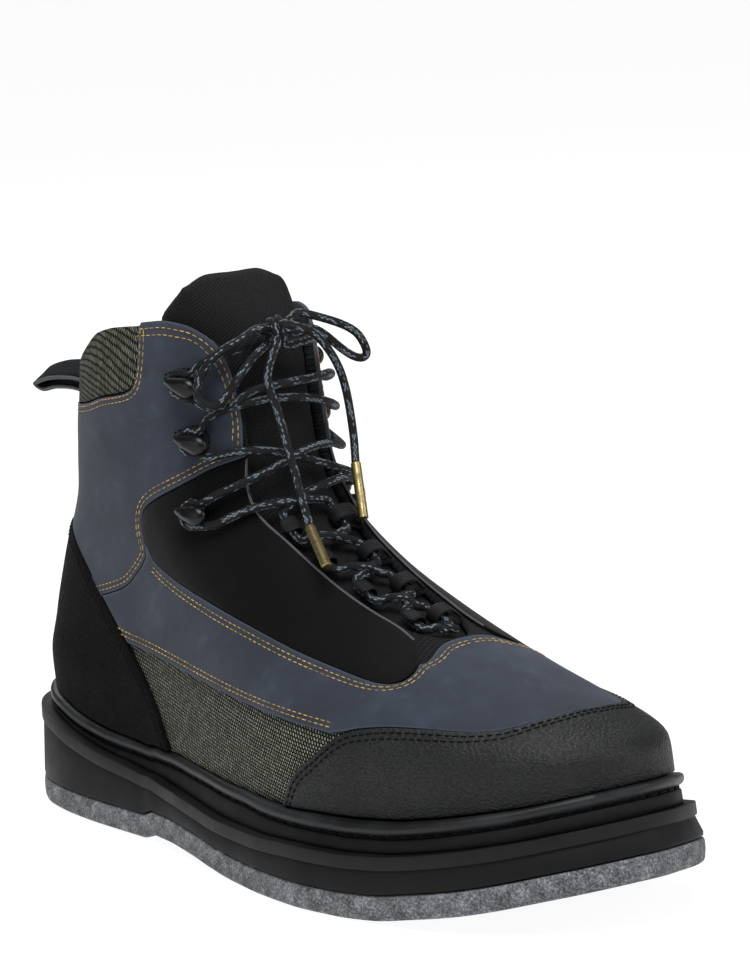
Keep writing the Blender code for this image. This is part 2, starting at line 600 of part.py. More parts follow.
def form_places():
    """The upper's own (around, up) places, on to 1.3 up and a full turn past the heel seam."""
    places = []
    for up in UPPER_ROWS + [1.06, 1.12, 1.18, 1.24, 1.27]:
        opening = throat_half(up) if up <= 1 else 0.0
        for i in range(UPPER_COLUMNS + 1):
            around = opening + (1 - opening) * i / UPPER_COLUMNS
            places += [(around, up), (-around, up), (2 - around, up)]
        if opening:
            places += [(opening * share, up) for share in (-0.7, 0.0, 0.7)]
    return list(dict.fromkeys(places))


def form_patch(name, outline, off, thickness, outwards, finish):
    """Overlay of the last inside an outline of (around, up) points."""
    points = list(outline)
    points += [place for place in form_places()
               if inside(place, outline) and not near(place, outline, 0.02)]
    count = len(outline)
    border = [(i, (i + 1) % count) for i in range(count)]
    flat, _, faces, *_ = delaunay_2d_cdt([Vector(p) for p in points], border,
                                         [list(range(count))], 1, 1e-7)
    build = bmesh.new()
    verts = [build.verts.new(form_point(p.x, p.y, off)) for p in flat]
    for face in faces:
        build.faces.new([verts[i] for i in face])
    bmesh.ops.delete(build, geom=[v for v in build.verts if not v.link_faces], context="VERTS")
    bmesh.ops.triangulate(build, faces=build.faces)
    face_outwards(build)
    mesh = bpy.data.meshes.new(name)
    build.to_mesh(mesh)
    build.free()
    item = add_object(name, mesh, finish)
    wall = item.modifiers.new("thickness", "SOLIDIFY")
    wall.thickness = thickness
    wall.offset = 1 if outwards else -1


def both_sides(half):
    """Outline across the front centre from its lateral half, which starts and ends there."""
    return half + [(-around, up) for around, up in reversed(half)]


def around_heel(half):
    """Outline across the heel seam from its half, continued past 1 on the other side."""
    return half + [(2 - around, up) for around, up in reversed(half)]


def make_overlays():
    """Toe cap, heel counter, collar patch, blue quarters and vamp, and black eyestays."""
    blue, black = (NUBUCK_BLUE, 0.9), (BLACK, 0.7)
    step, rise = 0.055, 0.016
    cap_half = curve_through(CAP_EDGE, step)
    foot = [(0.412 * i / 10, rise) for i in range(10)]
    form_patch("toe_cap", joined(both_sides(foot + cap_half[:-1] + [CAP_EDGE[-1]])[1:]),
               OVERLAY_GAP, CAP_THICKNESS, True, ((0.016, 0.017, 0.018), 0.6))
    counter = curve_through(COUNTER_EDGE, step)
    heel_foot = [(0.607 + 0.786 * i / 16, rise) for i in range(15, 0, -1)]
    form_patch("heel_counter", joined(around_heel(counter)[:-1] + [(1.393, rise)] + heel_foot),
               OVERLAY_GAP, CAP_THICKNESS, True, ((0.016, 0.017, 0.018), 0.65))
    patch = curve_through(PATCH_EDGE, step)
    rim = [(0.425 + 1.15 * i / 24, 0.994) for i in range(23, 0, -1)]
    form_patch("collar_patch", joined(around_heel(patch), rim), OVERLAY_GAP, OVERLAY, True,
               ((0.075, 0.080, 0.062), 0.85))

    top = curve_through(EYESTAY_TOP, step)
    sole_side = curve_through(EYESTAY_FOOT, step)
    throat = curve_through(THROAT_EDGE, step)
    eyestay = joined(throat, top, sole_side)
    lip = shifted(sole_side, SEAM)
    over = shifted(top, SEAM)
    cut = min(range(len(lip)), key=lambda i: abs(lip[i][0] - SEAM_AT_BAND - 0.004)
              + abs(lip[i][1] - 0.375))
    band = curve_through(BAND_FOOT, step)
    cap_lip = shifted(cap_half, -SEAM)
    past = [p for p in cap_lip if p[0] < SEAM_AT_BAND - 0.004]
    before = [p for p in cap_lip if SEAM_AT_BAND + 0.004 < p[0] < 0.346]
    back_lip = [p for p in shifted(counter, SEAM) if p[1] > 0.262 and p[0] < 0.98]
    patch_lip = [p for p in shifted(patch, -SEAM) if p[0] < 0.98]
    seam = 1 - 0.0035
    front_edge = [(0.172, 0.872), (0.163, 0.905), (0.165, 0.935), (0.178, 0.965), (0.214, 0.994)]
    collar_rim = [(0.24 + 0.17 * i / 5, 0.994) for i in range(6)]
    quarter = joined([(seam, 0.519)], list(reversed(back_lip)), band, before,
                     [(SEAM_AT_BAND + 0.004, 0.246), lip[cut]], list(reversed(lip[:cut])),
                     list(reversed(over)), curve_through(front_edge, step), collar_rim, patch_lip,
                     [(seam, 0.873)] + [(seam, 0.873 - 0.059 * i) for i in range(1, 6)])
    vamp_half = joined([(0.0, 0.322)], list(reversed(past)), [(SEAM_AT_BAND - 0.004, 0.247)],
                       [p for p in lip[cut:] if p[0] < SEAM_AT_BAND - 0.004 and p[0] > 0.168],
                       curve_through(VAMP_LIP, step))
    for side, place in ((-1, "lateral"), (1, "medial")):
        for name, outline, finish in (("quarter_", quarter, blue), ("eyestay_", eyestay, black)):
            form_patch(name + place, [(side * a, up) for a, up in outline], OVERLAY_GAP, OVERLAY,
                       True, finish)
    whole = joined(vamp_half + [(-a, up) for a, up in reversed(vamp_half)])
    form_patch("vamp", whole, OVERLAY_GAP, OVERLAY, True, blue)


def make_tongue():
    """Padded tongue under the throat's edges, with a rounded top above the collar."""
    half = curve_through(TONGUE_EDGE, 0.05)
    outline = joined([(-a, up) for a, up in half], list(reversed(half)))
    form_patch("tongue", outline, -(WALL + 0.0009), TONGUE_THICKNESS, False, (BLACK, 0.95))


def form_frame(around, up, off):
    """Frame on the form: x towards the front centre, z outwards."""
    out = form_normal(around, up)
    place = form_point(around, up, off)
    ahead = form_point(around * 0.9, up) - form_point(around, up)
    ahead = (ahead - out * ahead.dot(out)).normalized()
    frame = Matrix((ahead, out.cross(ahead), out)).transposed().to_4x4()
    frame.translation = place
    return frame


def turn_frame(around, up, off):
    """Frame of a lace turn: x towards the front centre, y up the form, z outwards."""
    out = form_normal(around, up)
    rise = form_point(around, up + 0.01) - form_point(around, up - 0.01)
    rise = (rise - out * rise.dot(out)).normalized()
    ahead = rise.cross(out)
    if ahead.dot(form_point(around * 0.9, up) - form_point(around, up)) < 0:
        ahead.negate()
    frame = Matrix((ahead, rise, out)).transposed().to_4x4()
    frame.translation = form_point(around, up, off)
    return frame


def revolved(profile, steps):
    """Mesh of a (radius, height) profile turned about z."""
    build = bmesh.new()
    verts = [build.verts.new((radius, 0, height)) for radius, height in profile]
    edges = [build.edges.new(pair) for pair in zip(verts, verts[1:])]
    bmesh.ops.spin(build, geom=verts + edges, axis=(0, 0, 1), cent=(0, 0, 0), steps=steps,
                   angle=2 * math.pi, use_merge=True)
    bmesh.ops.remove_doubles(build, verts=build.verts, dist=1e-6)
    return build


HOOK_BASE = OVERLAY_GAP + OVERLAY + CLEARANCE
FLANGE = 0.0008
LACE_LEVEL = HOOK_BASE + FLANGE + CLEARANCE + LACE / 2


def make_hooks():
    """Lace hooks: a flange, a neck and a domed head, both drawn out to a point behind."""
    under = FLANGE + 2 * CLEARANCE + LACE
    neck = HOOK_NECK / 2
    for place, side in (("lateral", -1), ("medial", 1)):
        for height, (around, up) in HOOKS[place].items():
            build = revolved([(0, 0), (0.0037, 0), (0.0037, FLANGE), (neck, FLANGE),
                              (neck, under), (0.0036, under + 0.1 * HOOK_HEAD),
                              (0.0038, under + 0.4 * HOOK_HEAD),
                              (0.0024, under + 0.85 * HOOK_HEAD), (0, under + HOOK_HEAD)], 8)
            for vert in build.verts:
                if vert.co.x < 0 and math.hypot(vert.co.x, vert.co.y) > 1.2 * neck:
                    share = -vert.co.x / 0.0038
                    vert.co.x *= 1.9
                    vert.co.y *= 1 - 0.35 * share
            frame = form_frame(side * around, up, HOOK_BASE)
            bmesh.ops.transform(build, matrix=frame, verts=build.verts)
            name = f"lace_hook_{height}_{place}"
            add_object(name, mesh_of(build, name), ((0.012, 0.012, 0.012), 0.3))


def spline(points, steps):
    """Smooth line through points, with a few places between each pair."""
    line = []
    for i in range(len(points) - 1):
        before, after = points[max(i - 1, 0)], points[min(i + 2, len(points) - 1)]
        first, last = points[i], points[i + 1]
        for k in range(steps):
            t = k / steps
            line.append(0.5 * ((2 * first) + (last - before) * t
                               + (2 * before - 5 * first + 4 * last - after) * t * t
                               + (3 * first - before - 3 * last + after) * t ** 3))
    line.append(points[-1])
    return line


def swept(name, line, section, side, finish):
    """Solid of one section carried along a line; side is the section's first x direction."""
    build, previous = bmesh.new(), None
    for i, point in enumerate(line):
        way = (line[min(i + 1, len(line) - 1)] - line[max(i - 1, 0)]).normalized()
        side = (side - way * side.dot(way)).normalized()
        other = way.cross(side)
        ring = [build.verts.new(point + side * x + other * y) for x, y in section]
        if previous:
            bridge(build, previous, ring)
        else:
            build.faces.new(list(reversed(ring)))
        previous = ring
    build.faces.new(previous)
    return add_object(name, mesh_of(build, name), finish)


def cord(name, line, diameter, finish, sides=5):
    """Round cord along a line."""
    section = [(diameter / 2 * math.cos(2 * math.pi * i / sides),
                diameter / 2 * math.sin(2 * math.pi * i / sides)) for i in range(sides)]
    way = line[1] - line[0]
    side = way.cross(Vector((0, 0, 1)) if abs(way.z) < way.length * 0.8 else Vector((1, 0, 0)))
    return swept(name, line, section, side, finish)


def strap(name, line, across, width, thickness, finish):
    """Flat strap along a line, its width along across."""
    section = [(width / 2 * i, thickness / 2 * j)
               for i, j in ((-1, -1), (1, -1), (1, 1), (-1, 1))]
    return swept(name, line, section, across, finish)


TURN_LEVEL = 0.3 * LACE


def make_loops():
    """Webbing loops around the lace's turns, out from under the eyestays' throat edges."""
    reach = LACE / 2 + 2 * CLEARANCE + WEBBING / 2
    for place, side in (("lateral", -1), ("medial", 1)):
        for number, (around, up) in enumerate(TURNS[place], 1):
            edge = throat_half(up) - 0.032
            frame = turn_frame(side * around, up, TURN_LEVEL)
            root = form_point(side * edge, up, -0.0003)
            local = frame.inverted() @ root
            end = min(local.x, -0.0015)
            close = min(max((-end - reach) / 0.006, 0.0), 1.0)
            upper = reach + (local.z + 0.0014 - reach) * close
            lower = -reach + (local.z - 0.0008 + reach) * close
            line = [frame @ Vector((x, 0, z)) for x, z in (
                (end, upper), (0.35 * end, reach), (0.2 * reach, reach),
                (0.8 * reach, 0.62 * reach), (reach, 0.0), (0.8 * reach, -0.62 * reach),
                (0.2 * reach, -reach), (0.45 * end, -reach), (end, lower))]
            across = frame.to_3x3() @ Vector((0, 1, 0))
            strap(f"lace_loop_{number}_{place}", line, across, WEBBING_WIDTH, WEBBING,
                  ((0.012, 0.012, 0.013), 0.8))


def past_hook(side, height):
    """The lace's way behind a hook's neck, from its upper to its lower side."""
    around, up = HOOKS["medial" if side > 0 else "lateral"][height]
    frame = form_frame(side * around, up, LACE_LEVEL)
    upward = 1 if (frame.to_3x3() @ Vector((0, 1, 0))).z > 0 else -1
    reach = HOOK_NECK / 2 + CLEARANCE + LACE / 2 + 0.0001
    return [frame @ Vector((x * reach, upward * y * reach, 0)) for x, y in
            ((0.55, 1.02), (-0.35, 1.0), (-0.9, 0.55), (-1.06, 0.0), (-0.9, -0.55),
             (-0.35, -1.0), (0.55, -1.02))]


def past_loop(side, number):
    """The lace's turn inside a webbing loop, from its upper to its lower leg."""
    around, up = TURNS["medial" if side > 0 else "lateral"][number - 1]
    frame = turn_frame(side * around, up, TURN_LEVEL)
    half = [(1.0, 1.9, 0.15), (0.42, 1.82, 0.08), (0.11, 1.42, 0.0), (0.0, 0.80, 0.0)]
    turn = half + [(back, -rise, lift) for back, rise, lift in reversed(half)]
    return [frame @ (LACE * Vector(place)) for place in turn]


def over_form(places):
    return [form_point(around, up, height * LACE) for around, up, height in places]


def knot_middle():
    around, up, height = KNOT_PLACE
    return form_point(around, up, height * LACE)


def from_knot(places):
    return [knot_middle() + LACE * Vector(place) for place in places]


def leaving(places):
    """Cord out of the knot, its first length square to the knot."""
    first = Vector(places[0])
    return from_knot([first, 1.35 * first, *places[1:]])


def arch(start, end, height):
    """Middle of a lace leg between two turns."""
    return [form_point(start[0] + (end[0] - start[0]) * share,
                       start[1] + (end[1] - start[1]) * share + bow, height * LACE)
            for share, bow in ((0.33, 0.004), (0.67, 0.006))]


def lace_strand(side):
    """One half of the lace from the knot's lateral (-1) or medial (1) side down to the toe."""
    lateral = side < 0
    line = leaving([LEAVES["lateral" if lateral else "medial"]])
    line += over_form(TO_LATERAL if lateral else TO_MEDIAL)
    line += past_hook(side, "top") + over_form(TOP_LATERAL if lateral else TOP_MEDIAL)
    line += past_hook(-side, "mid") + over_form(MID_LATERAL if lateral else MID_MEDIAL)
    line += past_hook(side, "low") + over_form(LOW_LATERAL if lateral else LOW_MEDIAL)
    here = -side
    for number in range(1, 5):
        line += past_loop(here, number)
        names = ("medial", "lateral") if here > 0 else ("lateral", "medial")
        start = TURNS[names[0]][number - 1]
        if number < 4:
            end = TURNS[names[1]][number]
            over = here < 0
            line += arch((here * (start[0] - 0.030), start[1] - 0.021),
                         (-here * (end[0] - 0.030), end[1] + 0.021), 0.85 if over else 0.30)
        here = -here
    line.append(form_point(0.020 * side, 0.524, TURN_LEVEL))
    return line


def make_lace():
    """Laced part of the lace as one solid: both halves cross and meet over the tongue's foot."""
    finish = ((0.014, 0.015, 0.017), 0.85)
    halves = [cord("lace" + suffix, lace_strand(side), LACE, finish)
              for side, suffix in ((-1, ""), (1, "_medial_half"))]
    union = halves[0].modifiers.new("crossings", "BOOLEAN")
    union.operation = "UNION"
    union.object = halves[1]
    BOOT.objects.unlink(halves[1])
    CUTTERS.objects.link(halves[1])
    halves[1].hide_render = True
    halves[1].display_type = "WIRE"


def make_bow():
    """Knot, two bow loops, and two free ends with their metal tags."""
    finish = ((0.014, 0.015, 0.017), 0.85)
    build = bmesh.new()
    bmesh.ops.create_icosphere(build, subdivisions=2, radius=KNOT / 2,
                               matrix=Matrix.Translation(knot_middle()))
    add_object("lace_knot", mesh_of(build, "lace_knot"), finish)
    for name, places in (("right", BOW_RIGHT), ("left", BOW_LEFT)):
        back = leaving(places[::-1])[:2]
        cord(f"bow_loop_{name}", leaving(places[:-1]) + back[::-1], LACE, finish)
    for name, places, tip in (("right", END_RIGHT, TAG_RIGHT), ("left", END_LEFT, TAG_LEFT)):
        points = leaving(places)
        end = knot_middle() + LACE * Vector(tip)
        way = (end - points[-1]).normalized()
        cord(f"lace_end_{name}", points, LACE, finish)
        start = points[-1] + way * 2 * CLEARANCE
        cord(f"lace_tag_{name}", [start, start + way * AGLET_LENGTH], AGLET,
             ((0.42, 0.36, 0.20), 0.35, 1.0), 10)


def make_pull():
    """Pull loop of folded tape behind the collar, tilted towards the lateral side."""
    tilt = Vector((0, math.cos(PULL_TILT), math.sin(PULL_TILT)))
    points = []
    for along, rise in PULL:
        height = FOOT_HEIGHT + UPPER_RISE * rise
        middle = FOOT_HEIGHT + UPPER_RISE * PULL_MIDDLE
        points.append(Vector((sole_x(along), (middle - height) * math.tan(PULL_TILT), height)))
    strap("pull_loop", spline(points, 2), tilt, PULL_WIDTH, PULL_THICKNESS,
          ((0.02, 0.02, 0.022), 0.8))


BOOT = bpy.data.collections.new("wading_boot")
CUTTERS = bpy.data.collections.new("cutters")


def main():
    for item in list(bpy.data.objects):
        bpy.data.objects.remove(item)
    bpy.context.scene.collection.children.link(BOOT)
    bpy.context.scene.collection.children.link(CUTTERS)
    make_felt()
    make_studs()
    make_midsole()
    make_welt()
    make_insole()
    make_upper()
    make_overlays()
    make_tongue()
    make_hooks()
    make_loops()
    make_lace()
    make_bow()
    make_pull()


main()
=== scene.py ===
"""Looks of a wading boot for the right foot: felt sole, lasted upper with its overlays, and lace.

Lengths are metres in the part's own frame, with the toe to +X, the medial side to +Y and +Z up.
A place on the upper is (around, up): around is 0 at the front centre and 1 at the heel seam, below
0 on the lateral side, and up is 0 at the welt and 1 at the collar. Patterns are in millimetres
through each piece's own UV map.
"""
import logging
import math
from dataclasses import dataclass, field
from enum import Enum
from typing import Callable, Sequence

import bmesh
import bpy
import numpy as np
from mathutils import Matrix, Vector
from mathutils.geometry import delaunay_2d_cdt


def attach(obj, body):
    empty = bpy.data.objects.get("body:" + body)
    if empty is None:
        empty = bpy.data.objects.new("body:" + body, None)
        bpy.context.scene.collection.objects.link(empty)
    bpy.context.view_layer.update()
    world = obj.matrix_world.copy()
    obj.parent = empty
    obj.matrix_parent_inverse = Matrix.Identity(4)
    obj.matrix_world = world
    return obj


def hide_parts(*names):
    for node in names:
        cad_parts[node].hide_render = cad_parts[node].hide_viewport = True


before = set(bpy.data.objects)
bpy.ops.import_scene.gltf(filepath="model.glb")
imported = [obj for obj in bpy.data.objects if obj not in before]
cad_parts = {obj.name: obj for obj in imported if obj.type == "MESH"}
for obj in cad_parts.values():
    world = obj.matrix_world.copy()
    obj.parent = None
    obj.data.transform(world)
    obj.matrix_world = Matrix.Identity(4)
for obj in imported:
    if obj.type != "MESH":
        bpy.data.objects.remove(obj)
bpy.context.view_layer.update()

LOG = logging.getLogger("wading_boot")
MM = 0.001
LACE = 0.004
HOOK_NECK = 0.0032
CLEARANCE = 0.0003
LOOPS = 4
# Steps in (around, up): between a line's points, and between the ends of runs that meet
SPACING = 0.01
MEETING = 0.003
Place = tuple[float, float]


class Side(Enum):
    """Side of the boot, with the sign that around takes there."""
    LATERAL = -1
    MEDIAL = 1


class Layer(Enum):
    """Level of the sole that a height is counted from."""
    FLOOR = 0
    FELT_TOP = 1
    LEDGE = 2
    WELT_TOP = 3


# Station along the sole: share of the length from the heel, the lateral and medial edges as shares
# of half the width, the toe spring and arch shares, and the shares of the side's and welt's heights
SOLE_SECTIONS = [
    (0.000, 0.000, 0.000, 0.00, 0.0, 1.00, 0.54), (0.012, -0.291, 0.275, 0.00, 0.0, 1.00, 0.54),
    (0.045, -0.502, 0.486, 0.00, 0.0, 0.98, 0.54), (0.100, -0.648, 0.632, 0.00, 0.0, 0.91, 0.55),
    (0.160, -0.704, 0.680, 0.00, 0.0, 0.77, 0.57), (0.220, -0.721, 0.688, 0.00, 0.0, 0.66, 0.62),
    (0.300, -0.722, 0.660, 0.00, 0.0, 0.55, 0.74), (0.325, -0.736, 0.640, 0.00, 1.0, 0.46, 0.80),
    (0.360, -0.761, 0.623, 0.00, 1.0, 0.41, 0.90), (0.420, -0.826, 0.599, 0.00, 0.8, 0.38, 0.96),
    (0.470, -0.883, 0.623, 0.00, 0.4, 0.38, 1.00), (0.530, -0.939, 0.721, 0.00, 0.0, 0.41, 0.98),
    (0.590, -0.988, 0.842, 0.00, 0.0, 0.43, 0.88), (0.650, -1.004, 0.939, 0.00, 0.0, 0.47, 0.81),
    (0.710, -0.964, 0.980, 0.00, 0.0, 0.48, 0.81), (0.760, -0.907, 0.988, 0.04, 0.0, 0.49, 0.81),
    (0.810, -0.834, 0.972, 0.18, 0.0, 0.48, 0.81), (0.860, -0.729, 0.923, 0.34, 0.0, 0.48, 0.83),
    (0.900, -0.607, 0.858, 0.51, 0.0, 0.47, 0.84), (0.935, -0.470, 0.769, 0.69, 0.0, 0.46, 0.86),
    (0.965, -0.324, 0.624, 0.84, 0.0, 0.46, 0.87), (0.985, -0.162, 0.462, 0.94, 0.0, 0.46, 0.87),
    (0.996, 0.008, 0.300, 0.99, 0.0, 0.47, 0.87), (1.000, 0.138, 0.138, 1.00, 0.0, 0.47, 0.87),
]

# Ring of the last: up, where it meets the back and the front (shares of the length, and of the rise
# above the welt), the front's shift inwards, half widths at heel and ball, how oval, and the
# bluntness of its ends
RINGS = [
    (0.00, 0.026, 0.000, 0.956, 0.000, 0.130, 0.590, 0.575, 0.862, 0.846, 0.00, 2.4, 2.40),
    (0.12, 0.020, 0.118, 0.954, 0.085, 0.121, 0.590, 0.575, 0.870, 0.829, 0.05, 2.4, 2.10),
    (0.25, 0.024, 0.252, 0.914, 0.142, 0.105, 0.560, 0.560, 0.830, 0.760, 0.45, 2.6, 1.92),
    (0.38, 0.036, 0.386, 0.837, 0.207, 0.081, 0.528, 0.545, 0.735, 0.686, 0.75, 2.7, 1.95),
    (0.50, 0.050, 0.512, 0.717, 0.305, 0.057, 0.498, 0.525, 0.656, 0.620, 0.90, 2.6, 1.95),
    (0.62, 0.062, 0.630, 0.595, 0.425, 0.024, 0.482, 0.522, 0.595, 0.570, 1.00, 2.4, 2.00),
    (0.74, 0.068, 0.748, 0.501, 0.562, 0.008, 0.482, 0.520, 0.551, 0.536, 1.00, 2.3, 2.10),
    (0.84, 0.075, 0.843, 0.452, 0.715, 0.000, 0.498, 0.518, 0.534, 0.515, 1.00, 2.2, 2.20),
    (0.92, 0.078, 0.914, 0.437, 0.866, 0.000, 0.498, 0.518, 0.534, 0.515, 1.00, 2.1, 2.20),
    (1.00, 0.079, 0.965, 0.425, 1.031, 0.000, 0.498, 0.520, 0.534, 0.518, 1.00, 2.0, 2.10),
    (1.30, 0.086, 1.230, 0.345, 1.285, 0.000, 0.498, 0.520, 0.534, 0.518, 1.00, 2.0, 2.10),
]

# The collar's edge between back (0) and front (1), as shares of its crest
COLLAR = [(0.0, 0.0), (0.12, 0.24), (0.25, 0.62), (0.38, 0.97), (0.5, 1.05), (0.7, 1.05),
          (0.8, 0.90), (0.9, 0.44), (1.0, 0.0)]

# Half the throat's opening, for each height
THROAT = [(0.510, 0.000), (0.516, 0.060), (0.530, 0.105), (0.567, 0.137), (0.623, 0.150),
          (0.705, 0.165), (0.760, 0.190), (0.800, 0.187), (0.865, 0.159), (0.930, 0.157),
          (0.960, 0.170), (1.000, 0.205)]

# Outlines on the form, (around, up), each for one side
CAP_EDGE = [(0.413, 0.004), (0.399, 0.078), (0.373, 0.138), (0.347, 0.184), (0.325, 0.207),
            (0.287, 0.226), (0.250, 0.232), (0.205, 0.233), (0.163, 0.246), (0.099, 0.285),
            (0.040, 0.305), (0.0, 0.310)]
COUNTER_EDGE = [(0.598, 0.004), (0.609, 0.078), (0.625, 0.144), (0.637, 0.185), (0.657, 0.243),
                (0.674, 0.285), (0.710, 0.357), (0.760, 0.430), (0.820, 0.476), (0.900, 0.503),
                (1.0, 0.510)]
PATCH_EDGE = [(0.425, 1.000), (0.437, 0.962), (0.456, 0.931), (0.492, 0.917), (0.581, 0.905),
              (0.717, 0.891), (1.0, 0.882)]
THROAT_EDGE = [(0.128, 0.505), (0.126, 0.533), (0.141, 0.567), (0.155, 0.623), (0.169, 0.705),
               (0.194, 0.760), (0.191, 0.800), (0.166, 0.858)]
EYESTAY_TOP = [(0.166, 0.858), (0.269, 0.827), (0.411, 0.765), (0.489, 0.712), (0.528, 0.656),
               (0.546, 0.600)]
EYESTAY_FOOT = [(0.546, 0.600), (0.541, 0.558), (0.510, 0.533), (0.447, 0.504), (0.395, 0.469),
                (0.353, 0.433), (0.311, 0.405), (0.273, 0.381), (0.246, 0.390), (0.215, 0.415),
                (0.178, 0.449), (0.144, 0.480), (0.128, 0.505)]
BAND_FOOT = [(0.654, 0.250), (0.605, 0.248), (0.539, 0.240), (0.471, 0.225), (0.423, 0.211),
             (0.383, 0.198), (0.356, 0.190)]
VAMP_LIP = [(0.164, 0.449), (0.140, 0.463), (0.112, 0.480), (0.080, 0.495), (0.040, 0.504),
            (0.0, 0.506)]
THROAT_CORNER = [(0.172, 0.872), (0.163, 0.905), (0.165, 0.935), (0.180, 0.970), (0.216, 1.006)]
COLLAR_ROWS = [
    [(0.183, 0.874), (0.174, 0.905), (0.176, 0.934), (0.189, 0.965), (0.214, 0.987),
     (0.250, 0.9966), (0.330, 0.9966), (0.421, 0.9966)],
    [(0.196, 0.880), (0.187, 0.906), (0.189, 0.932), (0.201, 0.958), (0.226, 0.977),
     (0.262, 0.9876), (0.330, 0.9876), (0.433, 0.9876)]]
TONGUE_EDGE = [(0.0, 0.462), (0.070, 0.464), (0.115, 0.485), (0.165, 0.540), (0.215, 0.640),
               (0.250, 0.740), (0.290, 0.850), (0.340, 0.935), (0.384, 0.985), (0.382, 1.018),
               (0.352, 1.048), (0.318, 1.082), (0.280, 1.124), (0.232, 1.182), (0.175, 1.240),
               (0.120, 1.279), (0.060, 1.296), (0.0, 1.300)]
ANKLE_SEAM = [(0.548, 0.598), (0.562, 0.560), (0.583, 0.525), (0.612, 0.482), (0.648, 0.428),
              (0.688, 0.385), (0.727, 0.350)]
SEAM = 0.008

# Lace hooks, and the lace's turns inside the webbing loops
HOOKS = {Side.LATERAL: {"low": (0.350, 0.738), "mid": (0.292, 0.868), "top": (0.300, 0.938)},
         Side.MEDIAL: {"low": (0.415, 0.725), "mid": (0.396, 0.866), "top": (0.400, 0.938)}}
TURNS = {Side.LATERAL: [(0.132, 0.742), (0.114, 0.675), (0.100, 0.608), (0.072, 0.547)],
         Side.MEDIAL: [(0.042, 0.756), (0.040, 0.682), (0.034, 0.615), (0.022, 0.552)]}

# Lace over the form: (around, up, height in lace diameters)
FROM_KNOT = {
    Side.LATERAL: [(-0.140, 1.012, 1.25), (-0.195, 0.990, 1.35), (-0.250, 0.966, 1.30)],
    Side.MEDIAL: [(0.060, 1.022, 1.00), (0.120, 1.015, 1.20), (0.185, 0.996, 1.45),
                  (0.250, 0.976, 1.55), (0.325, 0.962, 1.45)]}
FROM_TOP_HOOK = {
    Side.LATERAL: [(-0.235, 0.921, 1.25), (-0.175, 0.930, 1.20), (-0.079, 0.945, 0.65),
                   (0.050, 0.940, 0.90), (0.135, 0.922, 1.30), (0.215, 0.902, 1.45),
                   (0.305, 0.886, 1.45)],
    Side.MEDIAL: [(0.315, 0.920, 1.45), (0.235, 0.938, 1.45), (0.165, 0.954, 1.35),
                  (0.080, 0.962, 0.95), (-0.025, 0.964, 0.90), (-0.129, 0.951, 1.20),
                  (-0.190, 0.926, 1.45), (-0.240, 0.908, 1.25)]}
FROM_MID_HOOK = {
    Side.LATERAL: [(0.315, 0.840, 1.45), (0.240, 0.842, 1.45), (0.180, 0.852, 1.35),
                   (0.110, 0.868, 1.05), (0.005, 0.872, 1.00), (-0.095, 0.847, 1.05),
                   (-0.180, 0.818, 1.45), (-0.270, 0.786, 1.40)],
    Side.MEDIAL: [(-0.247, 0.853, 1.30), (-0.181, 0.868, 1.20), (-0.090, 0.872, 0.65),
                  (-0.017, 0.862, 0.50), (0.090, 0.832, 1.00), (0.180, 0.802, 1.50),
                  (0.240, 0.782, 1.55), (0.290, 0.765, 1.55), (0.345, 0.749, 1.45)]}
FROM_LOW_HOOK = {
    Side.LATERAL: [(-0.310, 0.722, 1.30), (-0.247, 0.753, 1.20), (-0.177, 0.775, 1.05),
                   (-0.109, 0.785, 0.90), (-0.039, 0.789, 0.70)],
    Side.MEDIAL: [(0.345, 0.712, 1.45), (0.290, 0.735, 1.55), (0.240, 0.762, 1.55),
                  (0.195, 0.786, 1.50), (0.110, 0.806, 1.20), (-0.010, 0.805, 0.35),
                  (-0.075, 0.790, 0.45)]}
KNOT_PLACE = (-0.040, 1.050, 2.0)
LEAVES = {Side.LATERAL: (-1.38, -0.38, -0.18), Side.MEDIAL: (-0.20, 0.82, -1.15)}

# The bow and the ends from the knot's middle, in lace diameters
BOW_RIGHT = [(0.70, 0.93, 0.83), (0.50, 1.9, 1.4), (1.0, 4.0, 0.8), (1.75, 6.2, -0.1),
             (2.25, 7.5, -1.0), (2.5, 8.15, -2.3), (2.5, 8.45, -3.1), (2.25, 8.1, -3.45),
             (1.75, 7.3, -3.15), (1.25, 6.15, -2.2), (0.75, 5.1, -1.1), (0.60, 3.9, -0.3),
             (0.65, 2.4, -0.15), (0.83, 1.13, -0.28)]
BOW_LEFT = [(-0.13, -1.38, 0.30), (-0.3, -3.6, -0.45), (-1.6, -5.15, -1.55), (-2.4, -6.05, -2.7),
            (-3.0, -6.65, -4.05), (-3.1, -6.9, -5.4), (-2.6, -6.65, -6.1), (-1.5, -5.9, -6.4),
            (-0.85, -5.2, -5.5), (-0.25, -4.1, -3.75), (0.0, -3.1, -2.5), (-0.15, -1.8, -1.7),
            (-0.53, -0.68, -1.15)]
END_RIGHT = [(1.28, -0.30, 0.55), (2.5, 2.2, -0.3), (2.9, 3.4, -1.7), (2.8, 4.75, -3.7),
             (2.8, 5.5, -5.9), (3.25, 5.8, -9.95), (4.0, 5.35, -12.35)]
TAG_RIGHT = (6.0, 4.35, -16.3)
END_LEFT = [(0.98, -0.73, -0.75), (1.3, -1.4, -1.8), (1.25, -2.1, -4.05), (1.9, -1.7, -6.8),
            (2.5, -1.4, -9.3), (3.3, -1.25, -11.8), (5.0, -1.75, -14.25), (7.5, -2.8, -16.7)]
TAG_LEFT = (12.1, -4.5, -19.6)

# The pull loop's line in the plane of the heel seam, shares of the sole's length and of the rise
PULL = [(0.0694, 0.950), (0.036, 0.955), (-0.012, 0.942), (-0.050, 0.918), (-0.062, 0.905),
        (-0.053, 0.893), (-0.012, 0.912), (0.030, 0.918), (0.053, 0.905), (0.0694, 0.888)]

